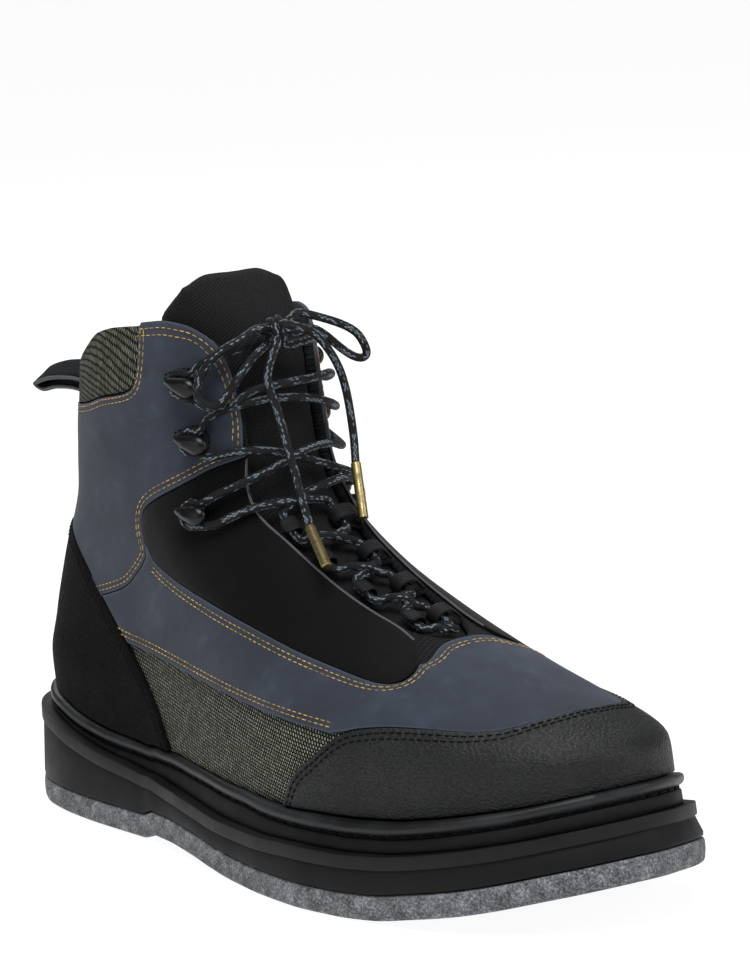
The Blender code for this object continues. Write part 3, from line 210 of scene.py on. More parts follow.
# Studs: share of the length from the heel, sideways share of half the width
STUDS = [(0.871, 0.526), (0.873, 0.190), (0.878, -0.181), (0.757, 0.614), (0.768, 0.060),
         (0.774, -0.440), (0.653, 0.479), (0.664, -0.036), (0.669, -0.555), (0.554, 0.236),
         (0.566, -0.460), (0.266, -0.296), (0.266, 0.280), (0.120, -0.330), (0.120, 0.330),
         (0.030, 0.0)]


def ease(share: np.ndarray) -> np.ndarray:
    """Smooth step from 0 to 1."""
    share = np.clip(share, 0.0, 1.0)
    return share * share * (3 - 2 * share)


class Table:
    """Columns of a table of rows as smooth monotone lines through the rows, read at many places."""

    def __init__(self, rows: Sequence[Sequence[float]]) -> None:
        """Take the rows, each its place and then its values."""
        data = np.array(sorted(rows), float)
        self.places, self.values = data[:, 0], data[:, 1:]
        step = np.diff(self.places)[:, None]
        slope = np.diff(self.values, axis=0) / step
        tangents = np.zeros_like(self.values)
        tangents[0], tangents[-1] = slope[0], slope[-1]
        first, second = 2 * step[1:] + step[:-1], step[1:] + 2 * step[:-1]
        same = slope[:-1] * slope[1:] > 0
        safe = np.where(same, slope[:-1], 1.0), np.where(same, slope[1:], 1.0)
        mean = (first + second) / (first / safe[0] + second / safe[1])
        tangents[1:-1] = np.where(same, mean, 0.0)
        self.tangents = tangents

    def at(self, where: np.ndarray) -> np.ndarray:
        """Read every column.

        Args:
            where: places along the table, any shape.

        Returns:
            The values, with the columns as the last axis.
        """
        where = np.clip(np.asarray(where, float), self.places[0], self.places[-1])
        index = np.clip(np.searchsorted(self.places, where) - 1, 0, len(self.places) - 2)
        width = (self.places[index + 1] - self.places[index])[..., None]
        t = (where - self.places[index])[..., None] / width
        return (self.values[index] * (1 + 2 * t) * (1 - t) ** 2
                + self.tangents[index] * width * t * (1 - t) ** 2
                + self.values[index + 1] * t * t * (3 - 2 * t)
                + self.tangents[index + 1] * width * t * t * (t - 1))


def turn_of(along: np.ndarray) -> np.ndarray:
    """Half turn from the toe (0) to the heel (1) for a share of the length from the heel."""
    return np.arccos(np.clip(2 * np.asarray(along, float) - 1, -1.0, 1.0)) / math.pi


@dataclass
class SoleShape:
    """Outline and levels of the sole."""
    length: float = 0.325
    width: float = 0.1235
    heel_reach: float = 0.044
    toe_spring: float = 0.0185
    arch_lift: float = 0.0025
    felt: float = 0.009
    wall: float = 0.0285
    welt: float = 0.013
    toe_setback: float = 0.0034
    outline: Table = field(init=False)
    profile: Table = field(init=False)

    def __post_init__(self) -> None:
        """Build the smooth tables."""
        self.outline = Table([(float(turn_of(r[0])), r[1], r[2]) for r in SOLE_SECTIONS])
        self.profile = Table([(r[0], *r[3:]) for r in SOLE_SECTIONS])

    def edge(self, along: np.ndarray, side: np.ndarray) -> np.ndarray:
        """Sideways place of the edge as a share of half the width."""
        both = self.outline.at(turn_of(along))
        return np.where(np.asarray(side) > 0, both[..., 1], both[..., 0])

    def level(self, along: np.ndarray, layer: Layer) -> np.ndarray:
        """Height of a layer at a share of the length."""
        spring, arch, wall, welt = np.moveaxis(self.profile.at(along), -1, 0)
        height = self.toe_spring * spring + self.arch_lift * arch
        for thickness in (self.felt, self.wall * wall, self.welt * welt)[:layer.value]:
            height = height + thickness
        return height

    def x(self, along: np.ndarray) -> np.ndarray:
        """Place along the boot of a share of the length."""
        return self.length * np.asarray(along, float) - self.heel_reach

    def along(self, x: np.ndarray) -> np.ndarray:
        """Share of the length at a place along the boot."""
        return np.clip((np.asarray(x, float) + self.heel_reach) / self.length, 0.0, 1.0)

    def rim(self, turn: np.ndarray, inset: np.ndarray) -> np.ndarray:
        """Points of the outline moved inwards, at z 0.

        Args:
            turn: -1 to 1 around the outline, 0 at the toe, below 0 on the lateral side.
            inset: distance inwards.

        Returns:
            An array of points.
        """
        def at(angle: np.ndarray) -> np.ndarray:
            """Points of the outline."""
            angle = (angle + 1) % 2 - 1
            along = (1 + np.cos(math.pi * angle)) / 2
            half = self.width / 2 * self.edge(along, angle)
            return np.stack([self.x(along), half, np.zeros_like(half)], -1)
        here, way = at(turn), at(turn + 0.004) - at(turn - 0.004)
        inwards = np.stack([-way[..., 1], way[..., 0], np.zeros_like(way[..., 0])], -1)
        inwards /= np.maximum(np.linalg.norm(inwards, axis=-1, keepdims=True), 1e-12)
        centre = np.stack([self.length * 0.45 - here[..., 0], -3 * here[..., 1]], -1)
        sign = np.where((inwards[..., :2] * centre).sum(-1) < 0, -1.0, 1.0)
        return here + inwards * (sign * inset)[..., None]

    def ring(self, turn: np.ndarray, inset: float, layer: Layer, lift: float,
             setback: float) -> np.ndarray:
        """Points around the sole at one inset and height.

        Args:
            turn: places around the outline.
            inset: distance inwards from the outline.
            layer: level that the height is counted from.
            lift: height above that level.
            setback: share of the toe's lean back.

        Returns:
            An array of points.
        """
        along = (1 + np.cos(math.pi * turn)) / 2
        points = self.rim(turn, inset + setback * self.toe_setback * ease((along - 0.8) / 0.2))
        points[..., 2] = self.level(self.along(points[..., 0]), layer) + lift
        return points


SOLE = SoleShape()


@dataclass
class Last:
    """The form that the upper, its overlays, the tongue and the lace are placed on."""
    foot_height: float = 0.041
    foot_height_toe: float = 0.047
    rise: float = 0.127
    crest: float = 0.0165
    seat: float = 0.0005
    rings: Table = field(default_factory=lambda: Table(RINGS))
    collar: Table = field(default_factory=lambda: Table(COLLAR))
    throat: Table = field(default_factory=lambda: Table(THROAT))

    def place(self, around: np.ndarray, up: np.ndarray, off: np.ndarray = 0.0) -> np.ndarray:
        """Points of the last.

        Args:
            around: -1 to 1, 0 at the front centre; values past 1 go on over the heel seam.
            up: 0 at the welt, 1 at the collar.
            off: distance outwards from the last.

        Returns:
            An array of points.
        """
        around, up = np.broadcast_arrays(np.asarray(around, float), np.asarray(up, float))
        off = np.asarray(off, float)
        if np.any(off):
            return self.place(around, up) + self.normal(around, up) * off[..., None]
        around = np.where(around > 1, around - 2, np.where(around < -1, around + 2, around))
        (back, back_rise, front, front_rise, shift, heel_l, heel_m, ball_l, ball_m, oval,
         blunt_back, blunt_front) = np.moveaxis(self.rings.at(up), -1, 0)
        share, side = (1 + np.cos(math.pi * around)) / 2, np.where(around < 0, -1.0, 1.0)
        x = SOLE.x(back + (front - back) * share)
        z = (self.foot_height + (self.foot_height_toe - self.foot_height) * share
             + self.rise * (back_rise + (front_rise - back_rise) * share))
        half = SOLE.width / 2
        bend = 0.138 * np.clip((share - 0.75) / 0.25, 0.0, 1.0) ** 2
        foot = side * (SOLE.edge(share, side) - bend)
        blunt = np.where(share < 0.5, blunt_back, blunt_front)
        rounded = (1 - np.abs(2 * share - 1) ** blunt) ** (1 / blunt)
        forward = ease((share - 0.15) / 0.5)
        heel, ball = np.where(side > 0, heel_m, heel_l), np.where(side > 0, ball_m, ball_l)
        full = 1 + (1 / np.where(side > 0, 0.70, 0.72) - 1) * (1 - forward) * (1 - oval)
        y = (half * shift * np.clip((share - 0.6) / 0.4, 0.0, 1.0) ** 1.5
             + side * half * (heel + (ball - heel) * forward) * full
             * ((1 - oval) * foot + oval * rounded))
        floor = self.foot_height + (self.foot_height_toe - self.foot_height) * share
        settle = SOLE.level(SOLE.along(x), Layer.WELT_TOP) + self.seat - floor
        z = z + ease(1 - up / 0.25) * settle + (np.clip((up - 0.72) / 0.28, 0.0, 1.0) ** 2
                                                * self.crest * self.collar.at(share)[..., 0])
        return np.stack([x, y, z], -1)

    def normal(self, around: np.ndarray, up: np.ndarray) -> np.ndarray:
        """Outward directions of the last."""
        step = 0.002
        across = self.place(around + step, up) - self.place(around - step, up)
        upward = (self.place(around, np.minimum(up + step, 1.3))
                  - self.place(around, np.maximum(up - step, 0.0)))
        out = np.cross(across, upward)
        return out / np.maximum(np.linalg.norm(out, axis=-1, keepdims=True), 1e-12)

    def point(self, around: float, up: float, off: float = 0.0) -> Vector:
        """One point of the last."""
        return Vector(self.place(np.array(around), np.array(up), np.array(off)))

    def opening(self, up: np.ndarray) -> np.ndarray:
        """Half the throat's opening at each height, 0 below its foot."""
        up = np.asarray(up, float)
        return np.where(up > THROAT[0][0], self.throat.at(up)[..., 0], 0.0)

    def frame(self, around: float, up: float, off: float, upright: bool) -> Matrix:
        """Frame on the last: x towards the front centre, z outwards.

        Args:
            around: place around.
            up: place up.
            off: distance outwards.
            upright: y runs up the last, instead of x running level.

        Returns:
            The frame as a 4 x 4 matrix.
        """
        out = Vector(self.normal(np.array(around), np.array(up)))
        ahead = self.point(around * 0.9, up) - self.point(around, up)
        if upright:
            rise = self.point(around, up + 0.01) - self.point(around, up - 0.01)
            rise = (rise - out * rise.dot(out)).normalized()
            level = rise.cross(out)
            ahead = level if level.dot(ahead) > 0 else -level
        else:
            ahead = (ahead - out * ahead.dot(out)).normalized()
            rise = out.cross(ahead)
        made = Matrix((ahead, rise, out)).transposed().to_4x4()
        made.translation = self.point(around, up, off)
        return made

    def aside(self, line: np.ndarray, distance: float) -> np.ndarray:
        """A line of (around, up) places moved sideways on the last by a real distance.

        Args:
            line: the places, in order.
            distance: to the left of the line's way, as seen from outside.

        Returns:
            The moved places.
        """
        around, up = line[:, 0], line[:, 1]
        step = 0.001
        by_around = (self.place(around + step, up) - self.place(around - step, up)) / (2 * step)
        by_up = (self.place(around, up + step) - self.place(around, up - step)) / (2 * step)
        way = np.gradient(self.place(around, up), axis=0)
        left = np.cross(self.normal(around, up), way)
        left /= np.maximum(np.linalg.norm(left, axis=-1, keepdims=True), 1e-12)
        aa, ab, bb = ((by_around ** 2).sum(-1), (by_around * by_up).sum(-1), (by_up ** 2).sum(-1))
        la, lb = (left * by_around).sum(-1), (left * by_up).sum(-1)
        scale = distance / (aa * bb - ab * ab)
        return line + np.stack([(la * bb - lb * ab) * scale, (lb * aa - la * ab) * scale], -1)


LAST = Last()


def linear(colour: str) -> tuple[float, float, float, float]:
    """Linear RGBA of an sRGB hex colour."""
    parts = [int(colour[i:i + 2], 16) / 255 for i in (1, 3, 5)]
    return (*[c / 12.92 if c <= 0.04045 else ((c + 0.055) / 1.055) ** 2.4 for c in parts], 1.0)


def add_node(tree: bpy.types.NodeTree, kind: str, inputs: dict | None = None,
             **settings: object) -> bpy.types.Node:
    """Add one shader node.

    Args:
        tree: node tree that takes it.
        kind: node type.
        inputs: socket name or number to a value, or to the socket that feeds it.
        **settings: the node's own properties.

    Returns:
        The node.
    """
    made = tree.nodes.new(kind)
    for name, value in settings.items():
        setattr(made, name, value)
    for name, value in (inputs or {}).items():
        if isinstance(value, bpy.types.NodeSocket):
            tree.links.new(value, made.inputs[name])
        else:
            made.inputs[name].default_value = value
    return made


class Patch:
    """The node tree of one finish, with the shorthands that its patterns share."""

    def __init__(self, name: str, roughness: float, metallic: float, shine: float) -> None:
        """Start a material with its Principled shader."""
        self.material = bpy.data.materials.new(name)
        self.material.use_nodes = True
        self.tree = self.material.node_tree
        self.shader = self.tree.nodes["Principled BSDF"]
        self.shader.inputs["Roughness"].default_value = roughness
        self.shader.inputs["Metallic"].default_value = metallic
        self.shader.inputs["Specular IOR Level"].default_value = shine
        self.solid = add_node(self.tree, "ShaderNodeTexCoord").outputs["Object"]
        self.flat = add_node(self.tree, "ShaderNodeUVMap", uv_map="flat").outputs["UV"]

    def noise(self, size: float, detail: float = 3.0, place: bpy.types.NodeSocket | None = None,
              rough: float = 0.55) -> bpy.types.NodeSocket:
        """Noise whose lumps are size metres across, 0 to 1."""
        made = add_node(self.tree, "ShaderNodeTexNoise", {
            "Vector": place or self.solid, "Scale": 1 / size, "Detail": detail, "Roughness": rough})
        return made.outputs["Fac"]

    def stirred(self, vector: bpy.types.NodeSocket, scale: float, detail: float,
                reach: float) -> bpy.types.NodeSocket:
        """A pattern's vector, moved about by noise, so that its rows aren't straight."""
        noise = add_node(self.tree, "ShaderNodeTexNoise", {
            "Vector": vector, "Scale": scale, "Detail": detail}).outputs["Color"]
        drift = add_node(self.tree, "ShaderNodeVectorMath", {0: noise, "Scale": reach},
                         operation="SCALE").outputs[0]
        return add_node(self.tree, "ShaderNodeVectorMath", {0: vector, 1: drift}).outputs[0]

    def math(self, operation: str, first: object, second: object = 0.0,
             third: object = 0.0) -> bpy.types.NodeSocket:
        """One sum."""
        made = add_node(self.tree, "ShaderNodeMath", {0: first, 1: second, 2: third},
                        operation=operation)
        return made.outputs[0]

    def between(self, value: bpy.types.NodeSocket, low: float, high: float, start: float = 0.0,
                end: float = 1.0) -> bpy.types.NodeSocket:
        """A value's range from low to high, moved smoothly to start to end."""
        made = add_node(self.tree, "ShaderNodeMapRange", {
            "Value": value, "From Min": low, "From Max": high, "To Min": start, "To Max": end},
            interpolation_type="SMOOTHSTEP")
        return made.outputs["Result"]

    def mix(self, share: object, first: object, second: object) -> bpy.types.NodeSocket:
        """Colour between two colours, each a hex string or a socket."""
        ends = [linear(c) if isinstance(c, str) else c for c in (first, second)]
        made = add_node(self.tree, "ShaderNodeMix", {0: share, 6: ends[0], 7: ends[1]},
                        data_type="RGBA")
        return made.outputs[2]

    def attribute(self, name: str) -> bpy.types.NodeSocket:
        """A piece's own value at each point."""
        return add_node(self.tree, "ShaderNodeAttribute", attribute_name=name).outputs["Fac"]

    def split(self, vector: bpy.types.NodeSocket) -> tuple[bpy.types.NodeSocket, ...]:
        """Parts of a vector."""
        made = add_node(self.tree, "ShaderNodeSeparateXYZ", {0: vector})
        return made.outputs[0], made.outputs[1], made.outputs[2]

    def join(self, x: object, y: object) -> bpy.types.NodeSocket:
        """Vector of two values."""
        return add_node(self.tree, "ShaderNodeCombineXYZ", {0: x, 1: y}).outputs[0]

    def turned(self, degrees: float, vector: bpy.types.NodeSocket,
               scale: tuple[float, float, float] = (1, 1, 1)) -> bpy.types.NodeSocket:
        """A pattern's vector, turned and scaled."""
        made = add_node(self.tree, "ShaderNodeMapping", {
            "Vector": vector, "Rotation": (0, 0, math.radians(degrees)), "Scale": scale})
        return made.outputs[0]

    def finish(self, colour: object, height: bpy.types.NodeSocket | None = None,
               depth: float = 0.0, roughness: bpy.types.NodeSocket | None = None,
               **sockets: float) -> bpy.types.Material:
        """Wire the shader.

        Args:
            colour: hex string or socket.
            height: relief, 0 to 1.
            depth: the relief's depth in metres.
            roughness: socket for the roughness, where it varies.
            **sockets: values of the shader's own sockets, with _ for a blank.

        Returns:
            The material.
        """
        if isinstance(colour, str):
            self.shader.inputs["Base Color"].default_value = linear(colour)
        else:
            self.tree.links.new(colour, self.shader.inputs["Base Color"])
        if height is not None:
            relief = add_node(self.tree, "ShaderNodeBump", {
                "Height": height, "Distance": depth, "Strength": 1.0})
            self.tree.links.new(relief.outputs[0], self.shader.inputs["Normal"])
        if roughness is not None:
            self.tree.links.new(roughness, self.shader.inputs["Roughness"])
        for name, value in sockets.items():
            self.shader.inputs[name.replace("_", " ")].default_value = value
        return self.material


MADE: dict[str, bpy.types.Material] = {}


@dataclass(frozen=True)
class Finish:
    """A surface of one material."""
    name: str
    slot: str
    colour: str
    roughness: float = 0.8
    metallic: float = 0.0
    shine: float = 0.5

    def material(self) -> bpy.types.Material:
        """The finish as a material, made once."""
        if self.name not in MADE:
            MADE[self.name] = self.dress(Patch(self.name, self.roughness,
                                                    self.metallic, self.shine))
        return MADE[self.name]

    def dress(self, patch: Patch) -> bpy.types.Material:
        """Wire a smooth moulded surface with faint marks of handling."""
        cloud = patch.noise(0.006, 4)
        return patch.finish(self.colour, cloud, 0.00004,
                            patch.between(cloud, 0.3, 0.7, self.roughness - 0.06,
                                          self.roughness + 0.06))


@dataclass(frozen=True)
class Felt(Finish):
    """Pressed felt: matted fibres of several greys, with fuzz that softens its edges."""
    shine: float = 0.15
    dark: str = "#2f3134"
    pale: str = "#a9acb0"

    def dress(self, patch: Patch) -> bpy.types.Material:
        """Flecks of 1 mm in drifts of 5 mm, over fibres."""
        fleck, drift = patch.noise(0.0008, 4, rough=0.75), patch.noise(0.005, 3)
        fibre = patch.noise(0.00035, 6, rough=0.8)
        both = patch.math("ADD", patch.math("MULTIPLY", fleck, 0.72),
                          patch.math("MULTIPLY", drift, 0.28))
        low = patch.mix(patch.between(both, 0.38, 0.50), self.dark, self.colour)
        tone = patch.mix(patch.between(both, 0.50, 0.62), low, self.pale)
        height = patch.math("ADD", fibre, patch.math("MULTIPLY", fleck, 1.5))
        return patch.finish(tone, height, 0.0005, Sheen_Weight=0.12, Sheen_Roughness=0.6)


@dataclass(frozen=True)
class Rubber(Finish):
    """Moulded rubber: dull black with the mould's fine texture and a bloom of dust."""
    shine: float = 0.35
    grain: float = 0.0006
    bloom: str = "#3a3b3d"

    def dress(self, patch: Patch) -> bpy.types.Material:
        """Fine mould grain and broad bloom."""
        cloud = patch.noise(0.022, 4)
        grain = patch.noise(self.grain, 2)
        tone = patch.mix(patch.between(cloud, 0.42, 0.72, 0.0, 0.55), self.colour, self.bloom)
        return patch.finish(tone, grain, 0.00012,
                            patch.between(cloud, 0.3, 0.7, self.roughness - 0.08,
                                          self.roughness + 0.08))


@dataclass(frozen=True)
class Grained(Finish):
    """Coated leather: raised pebbles that catch the light, wider than tall, with dull valleys;
    their crowns are painted paler, painted highlight mixed with wear.
    """
    shine: float = 0.4
    pebble: float = 0.0011
    depth: float = 0.00022
    # Paler colour of the pebbles' crowns: wear and painted highlight
    worn_and_highlight: str = "#47484b"

    def dress(self, patch: Patch) -> bpy.types.Material:
        """Pebbles from cells, broken up by noise."""
        moved = patch.stirred(patch.solid, 1 / 0.002, 2.0, 0.0007)
        cells = add_node(patch.tree, "ShaderNodeTexVoronoi", {
            "Vector": patch.turned(0, moved, (0.75, 0.75, 1.25)), "Scale": 1 / self.pebble},
            feature="SMOOTH_F1").outputs["Distance"]
        crown = patch.between(cells, 0.05, 0.75, 1.0, 0.0)
        cloud = patch.noise(0.018, 3)
        # Crowns painted paler, more so in broad clouds: painted highlight on the pebbles, with wear
        tone = patch.mix(patch.math("MULTIPLY", crown, patch.between(cloud, 0.3, 0.75, 0.25, 0.8)),
                         self.colour, self.worn_and_highlight)
        return patch.finish(tone, crown, self.depth,
                            patch.between(crown, 0.0, 1.0, self.roughness + 0.15,
                                          self.roughness))


@dataclass(frozen=True)
class Nubuck(Finish):
    """Brushed microfibre nubuck: matt and cloudy, paler in rub marks, with a painted highlight
    along its edges.
    """
    shine: float = 0.12
    # Paler colour of the rub marks, also used for the painted highlight along the edges
    rubbed_and_highlight: str = "#4e5664"
    deep: str = "#30353f"

    def dress(self, patch: Patch) -> bpy.types.Material:
        """Broad brushed clouds, fine nap, rub streaks and a painted highlight along the edge."""
        cloud, streak = patch.noise(0.030, 4, rough=0.6), patch.noise(0.007, 4, rough=0.65)
        nap = patch.noise(0.0005, 3)
        tone = patch.mix(patch.between(cloud, 0.35, 0.68), self.deep, self.colour)
        rub = patch.between(patch.math("ADD", patch.math("MULTIPLY", streak, 0.6),
                                       patch.math("MULTIPLY", cloud, 0.4)), 0.5, 0.72, 0.0, 0.35)
        tone = patch.mix(rub, tone, self.rubbed_and_highlight)
        # Painted highlight: the colour goes paler within 1.1 mm of the panel's outline
        edge = patch.between(patch.attribute("edge"), 0.0, 1.1, 0.45, 0.0)
        tone = patch.mix(edge, tone, self.rubbed_and_highlight)
        height = patch.math("ADD", nap, patch.math("MULTIPLY", streak, 2.0))
        return patch.finish(tone, height, 0.00010, Sheen_Weight=0.08, Sheen_Roughness=0.5)


@dataclass(frozen=True)
class Weave(Finish):
    """Basket weave: pale yarn crowns over dark gaps, with yarns drawn coarse enough to show."""
    shine: float = 0.12
    yarn: float = 1.4
    bias: float = 62.0
    shadow: str = "#0b0c07"
    pale: str = "#8c8d80"

    def dress(self, patch: Patch) -> bpy.types.Material:
        """Yarns as bricks of the UV map's millimetres, set on the bias."""
        moved = patch.stirred(patch.flat, 0.30, 1.0, 0.5)
        bricks = add_node(patch.tree, "ShaderNodeTexBrick", {
            "Vector": patch.turned(self.bias, moved), "Scale": 1.0,
            "Mortar Size": 0.27 * self.yarn, "Mortar Smooth": 0.6, "Bias": -0.2,
            "Brick Width": 1.15 * self.yarn, "Row Height": 0.78 * self.yarn,
            "Color1": linear(self.colour), "Color2": linear(self.pale),
            "Mortar": linear(self.shadow)}, offset=0.5)
        height = patch.math("SUBTRACT", 1.0, bricks.outputs["Fac"])
        return patch.finish(bricks.outputs["Color"], height, 0.0004)


@dataclass(frozen=True)
class Knit(Finish):
    """Spacer knit: black loops in rows, with a small dark hole in each."""
    shine: float = 0.1
    loop: float = 1.5
    pale: str = "#343437"

    def dress(self, patch: Patch) -> bpy.types.Material:
        """Loops as cells on a straight lattice in the UV map's millimetres."""
        cells = add_node(patch.tree, "ShaderNodeTexVoronoi", {
            "Vector": patch.turned(45, patch.flat), "Scale": 1.41 / self.loop,
            "Randomness": 0.12}, feature="F1").outputs["Distance"]
        crown = patch.between(cells, 0.12, 0.62)
        fibre = patch.noise(1 / 3, 3.0, patch.flat, 0.5)
        tone = patch.mix(patch.math("MULTIPLY", crown, patch.between(fibre, 0.35, 0.65, 0.35, 1.0)),
                         self.colour, self.pale)
        return patch.finish(tone, crown, 0.0004, Sheen_Weight=0.03, Sheen_Roughness=0.5)


@dataclass(frozen=True)
class Braid(Finish):
    """Round braided lace: black and some grey-blue yarns, drawn twice as wide so that they show."""
    shine: float = 0.25
    fleck: str = "#717c87"
    yarn: str = "#18191b"
    turns: float = 10.0
    pitch: float = 22.0

    def dress(self, patch: Patch) -> bpy.types.Material:
        """Yarns wind both ways; the UV map holds the turn (0 to 1) and the millimetres along."""
        turn, along, _ = patch.split(patch.flat)
        slope = patch.math("MULTIPLY", along, self.turns / self.pitch)
        around = patch.math("MULTIPLY", turn, self.turns)
        one, two = patch.math("ADD", slope, around), patch.math("SUBTRACT", slope, around)
        first, second = patch.math("FLOOR", one), patch.math("FLOOR", two)
        half = patch.math("FLOORED_MODULO", patch.math("ADD", first, second), 2.0)
        other = patch.math("SUBTRACT", 1.0, half)
        across = patch.math("ADD", patch.math("MULTIPLY", half, patch.math("FRACT", one)),
                            patch.math("MULTIPLY", other, patch.math("FRACT", two)))
        lengthwise = patch.math("ADD", patch.math("MULTIPLY", other, patch.math("FRACT", one)),
                                patch.math("MULTIPLY", half, patch.math("FRACT", two)))
        width, reach = (patch.math("ABSOLUTE", patch.math("SUBTRACT", value, 0.5))
                        for value in (across, lengthwise))
        crown = patch.math("MULTIPLY", patch.between(width, 0.24, 0.50, 1.0, 0.0),
                           patch.between(reach, 0.34, 0.52, 1.0, 0.25))
        column = patch.math("LESS_THAN", patch.math(
            "FLOORED_MODULO", patch.math("SUBTRACT", first, second), 5.0), 2.9)
        broken = patch.noise(4.0, 0.0, patch.join(first, second), 0.5)
        cell = add_node(patch.tree, "ShaderNodeTexWhiteNoise", {
            "Vector": patch.join(first, second)}, noise_dimensions="2D").outputs["Value"]
        picked = patch.math("MULTIPLY", column, patch.math("GREATER_THAN", broken, 0.49))
        picked = patch.math("MULTIPLY", picked, patch.between(cell, 0.10, 0.45, 0.0, 1.0))
        strand = patch.mix(picked, self.yarn, self.fleck)
        # Each yarn runs from its own colour on the crown to the darker base colour at its sides:
        # painted highlight on the crowns, painted shade between the yarns
        tone = patch.mix(crown, self.colour, strand)
        return patch.finish(tone, crown, 0.00030)


@dataclass(frozen=True)
class Tape(Finish):
    """Woven tape: ribs along it, with the weft's small steps across them."""
    shine: float = 0.2
    rib: float = 1.1
    pale: str = "#2b2c2f"

    def dress(self, patch: Patch) -> bpy.types.Material:
        """Ribs and weft from the UV map's millimetres."""
        across, along, _ = patch.split(patch.flat)
        ribs = patch.math("SINE", patch.math("MULTIPLY", across, 2 * math.pi / self.rib))
        weft = patch.math("SINE", patch.math("MULTIPLY", along, 2 * math.pi / 0.8))
        height = patch.math("ADD", patch.math("MULTIPLY", ribs, 0.35),
                            patch.math("MULTIPLY", weft, 0.15))
        crown = patch.between(height, -0.5, 0.5)
        return patch.finish(patch.mix(crown, self.colour, self.pale), crown, 0.00025)


@dataclass(frozen=True)
class Thread(Finish):
    """Waxed polyester thread: twisted, its tone changing slowly along the row."""
    shine: float = 0.4
    pale: str = "#d9a441"

    def dress(self, patch: Patch) -> bpy.types.Material:
        """Slow change of tone along the row and fine twist."""
        cloud, twist = patch.noise(0.004, 2), patch.noise(0.0005, 2)
        return patch.finish(patch.mix(patch.between(cloud, 0.35, 0.65), self.colour, self.pale),
                            twist, 0.00015)


@dataclass(frozen=True)
class Metal(Finish):
    """Cold-worked metal, burnished in patches with clouds of dull tarnish between them."""
    dull: str = "#5c553f"

    def dress(self, patch: Patch) -> bpy.types.Material:
        """Tarnish clouds and drawn scratches."""
        cloud, scratch = patch.noise(0.0025, 4), patch.noise(0.0006, 3)
        return patch.finish(patch.mix(patch.between(cloud, 0.45, 0.7, 0.0, 0.6), self.colour,
                                      self.dull), scratch, 0.00004,
                            patch.between(cloud, 0.35, 0.65, self.roughness - 0.08,
                                          self.roughness + 0.15))


FELT = Felt("pressed felt", "felt", "#6c6f73", 0.95)
SIDE_RUBBER = Rubber("moulded midsole rubber", "midsole_rubber", "#0b0b0b", 0.6, shine=0.2,
                     bloom="#171718")
LEDGE_RUBBER = Rubber("ledge rubber", "midsole_rubber", "#0c0c0d", 0.55, shine=0.25,
                      bloom="#1e1f20")
WELT_RUBBER = Rubber("welt rubber", "welt_rubber", "#121314", 0.45, bloom="#2a2d30")
FOAM = Knit("insole cloth", "insole_foam", "#151516", 0.95, loop=1.2)
LINING = Knit("lining cloth", "mesh_fabric", "#101011", 0.95, loop=1.3, pale="#26272a")
SIDE_MESH = Weave("basket weave", "mesh_fabric", "#75766a", 0.85, pale="#a3a497")
PATCH_MESH = Weave("collar weave", "mesh_fabric_collar", "#66675a", 0.85, yarn=1.15,
                   pale="#919284")
CAP_LEATHER = Grained("pebbled coated leather", "toe_cap_rubber", "#101112", 0.48, shine=0.3,
                      pebble=0.0008, worn_and_highlight="#2a2b2d")
COUNTER_LEATHER = Grained("fine coated leather", "counter_rubber", "#080808", 0.7, shine=0.08,
                          pebble=0.0007, depth=0.00013, worn_and_highlight="#141414")
BLUE = Nubuck("blue nubuck", "blue_nubuck", "#383e4a", 0.85)
BLUE_EDGE = Finish("cut edge of nubuck", "blue_nubuck", "#454a53", 0.9, shine=0.1)
SMOOTH = Nubuck("smooth black microfibre", "black_leather", "#070707", 0.62, shine=0.05,
                rubbed_and_highlight="#0f0f10", deep="#050505")
TONGUE_KNIT = Knit("tongue knit", "tongue_knit", "#09090a", 0.9, loop=1.25, pale="#2c2c2f")
WEBBING = Tape("loop webbing", "webbing", "#08080a", 0.6, pale="#1a1b1e")
PULL_TAPE = Tape("pull tape", "webbing", "#08090b", 0.7, shine=0.08, rib=0.9, pale="#15171a")
GREY_TAPE = Tape("grey binding tape", "black_leather", "#3a3c3f", 0.7, rib=0.9, pale="#626568")
LACE_CORD = Braid("braided lace", "lace_cord", "#060607", 0.6)
GOLD = Thread("golden thread", "blue_nubuck", "#8f7434", 0.6, pale="#d2ac50")
BLACK_THREAD = Thread("black thread", "black_leather", "#040405", 0.7, shine=0.1, pale="#0b0b0c")
BRASS = Metal("tinned brass", "tag_brass", "#a39468", 0.34, 1.0)
LACQUER = Finish("black lacquer", "hook_black", "#050506", 0.32, shine=0.32)
STEEL = Metal("galvanised steel", "stud_steel", "#c3c6c9", 0.3, 1.0, dull="#7d8084")


def mesh_from(build: bmesh.types.BMesh, name: str) -> bpy.types.Mesh:
    """Turn a bmesh into a mesh, and free it."""
    mesh = bpy.data.meshes.new(name)
    build.to_mesh(mesh)
    build.free()
    return mesh


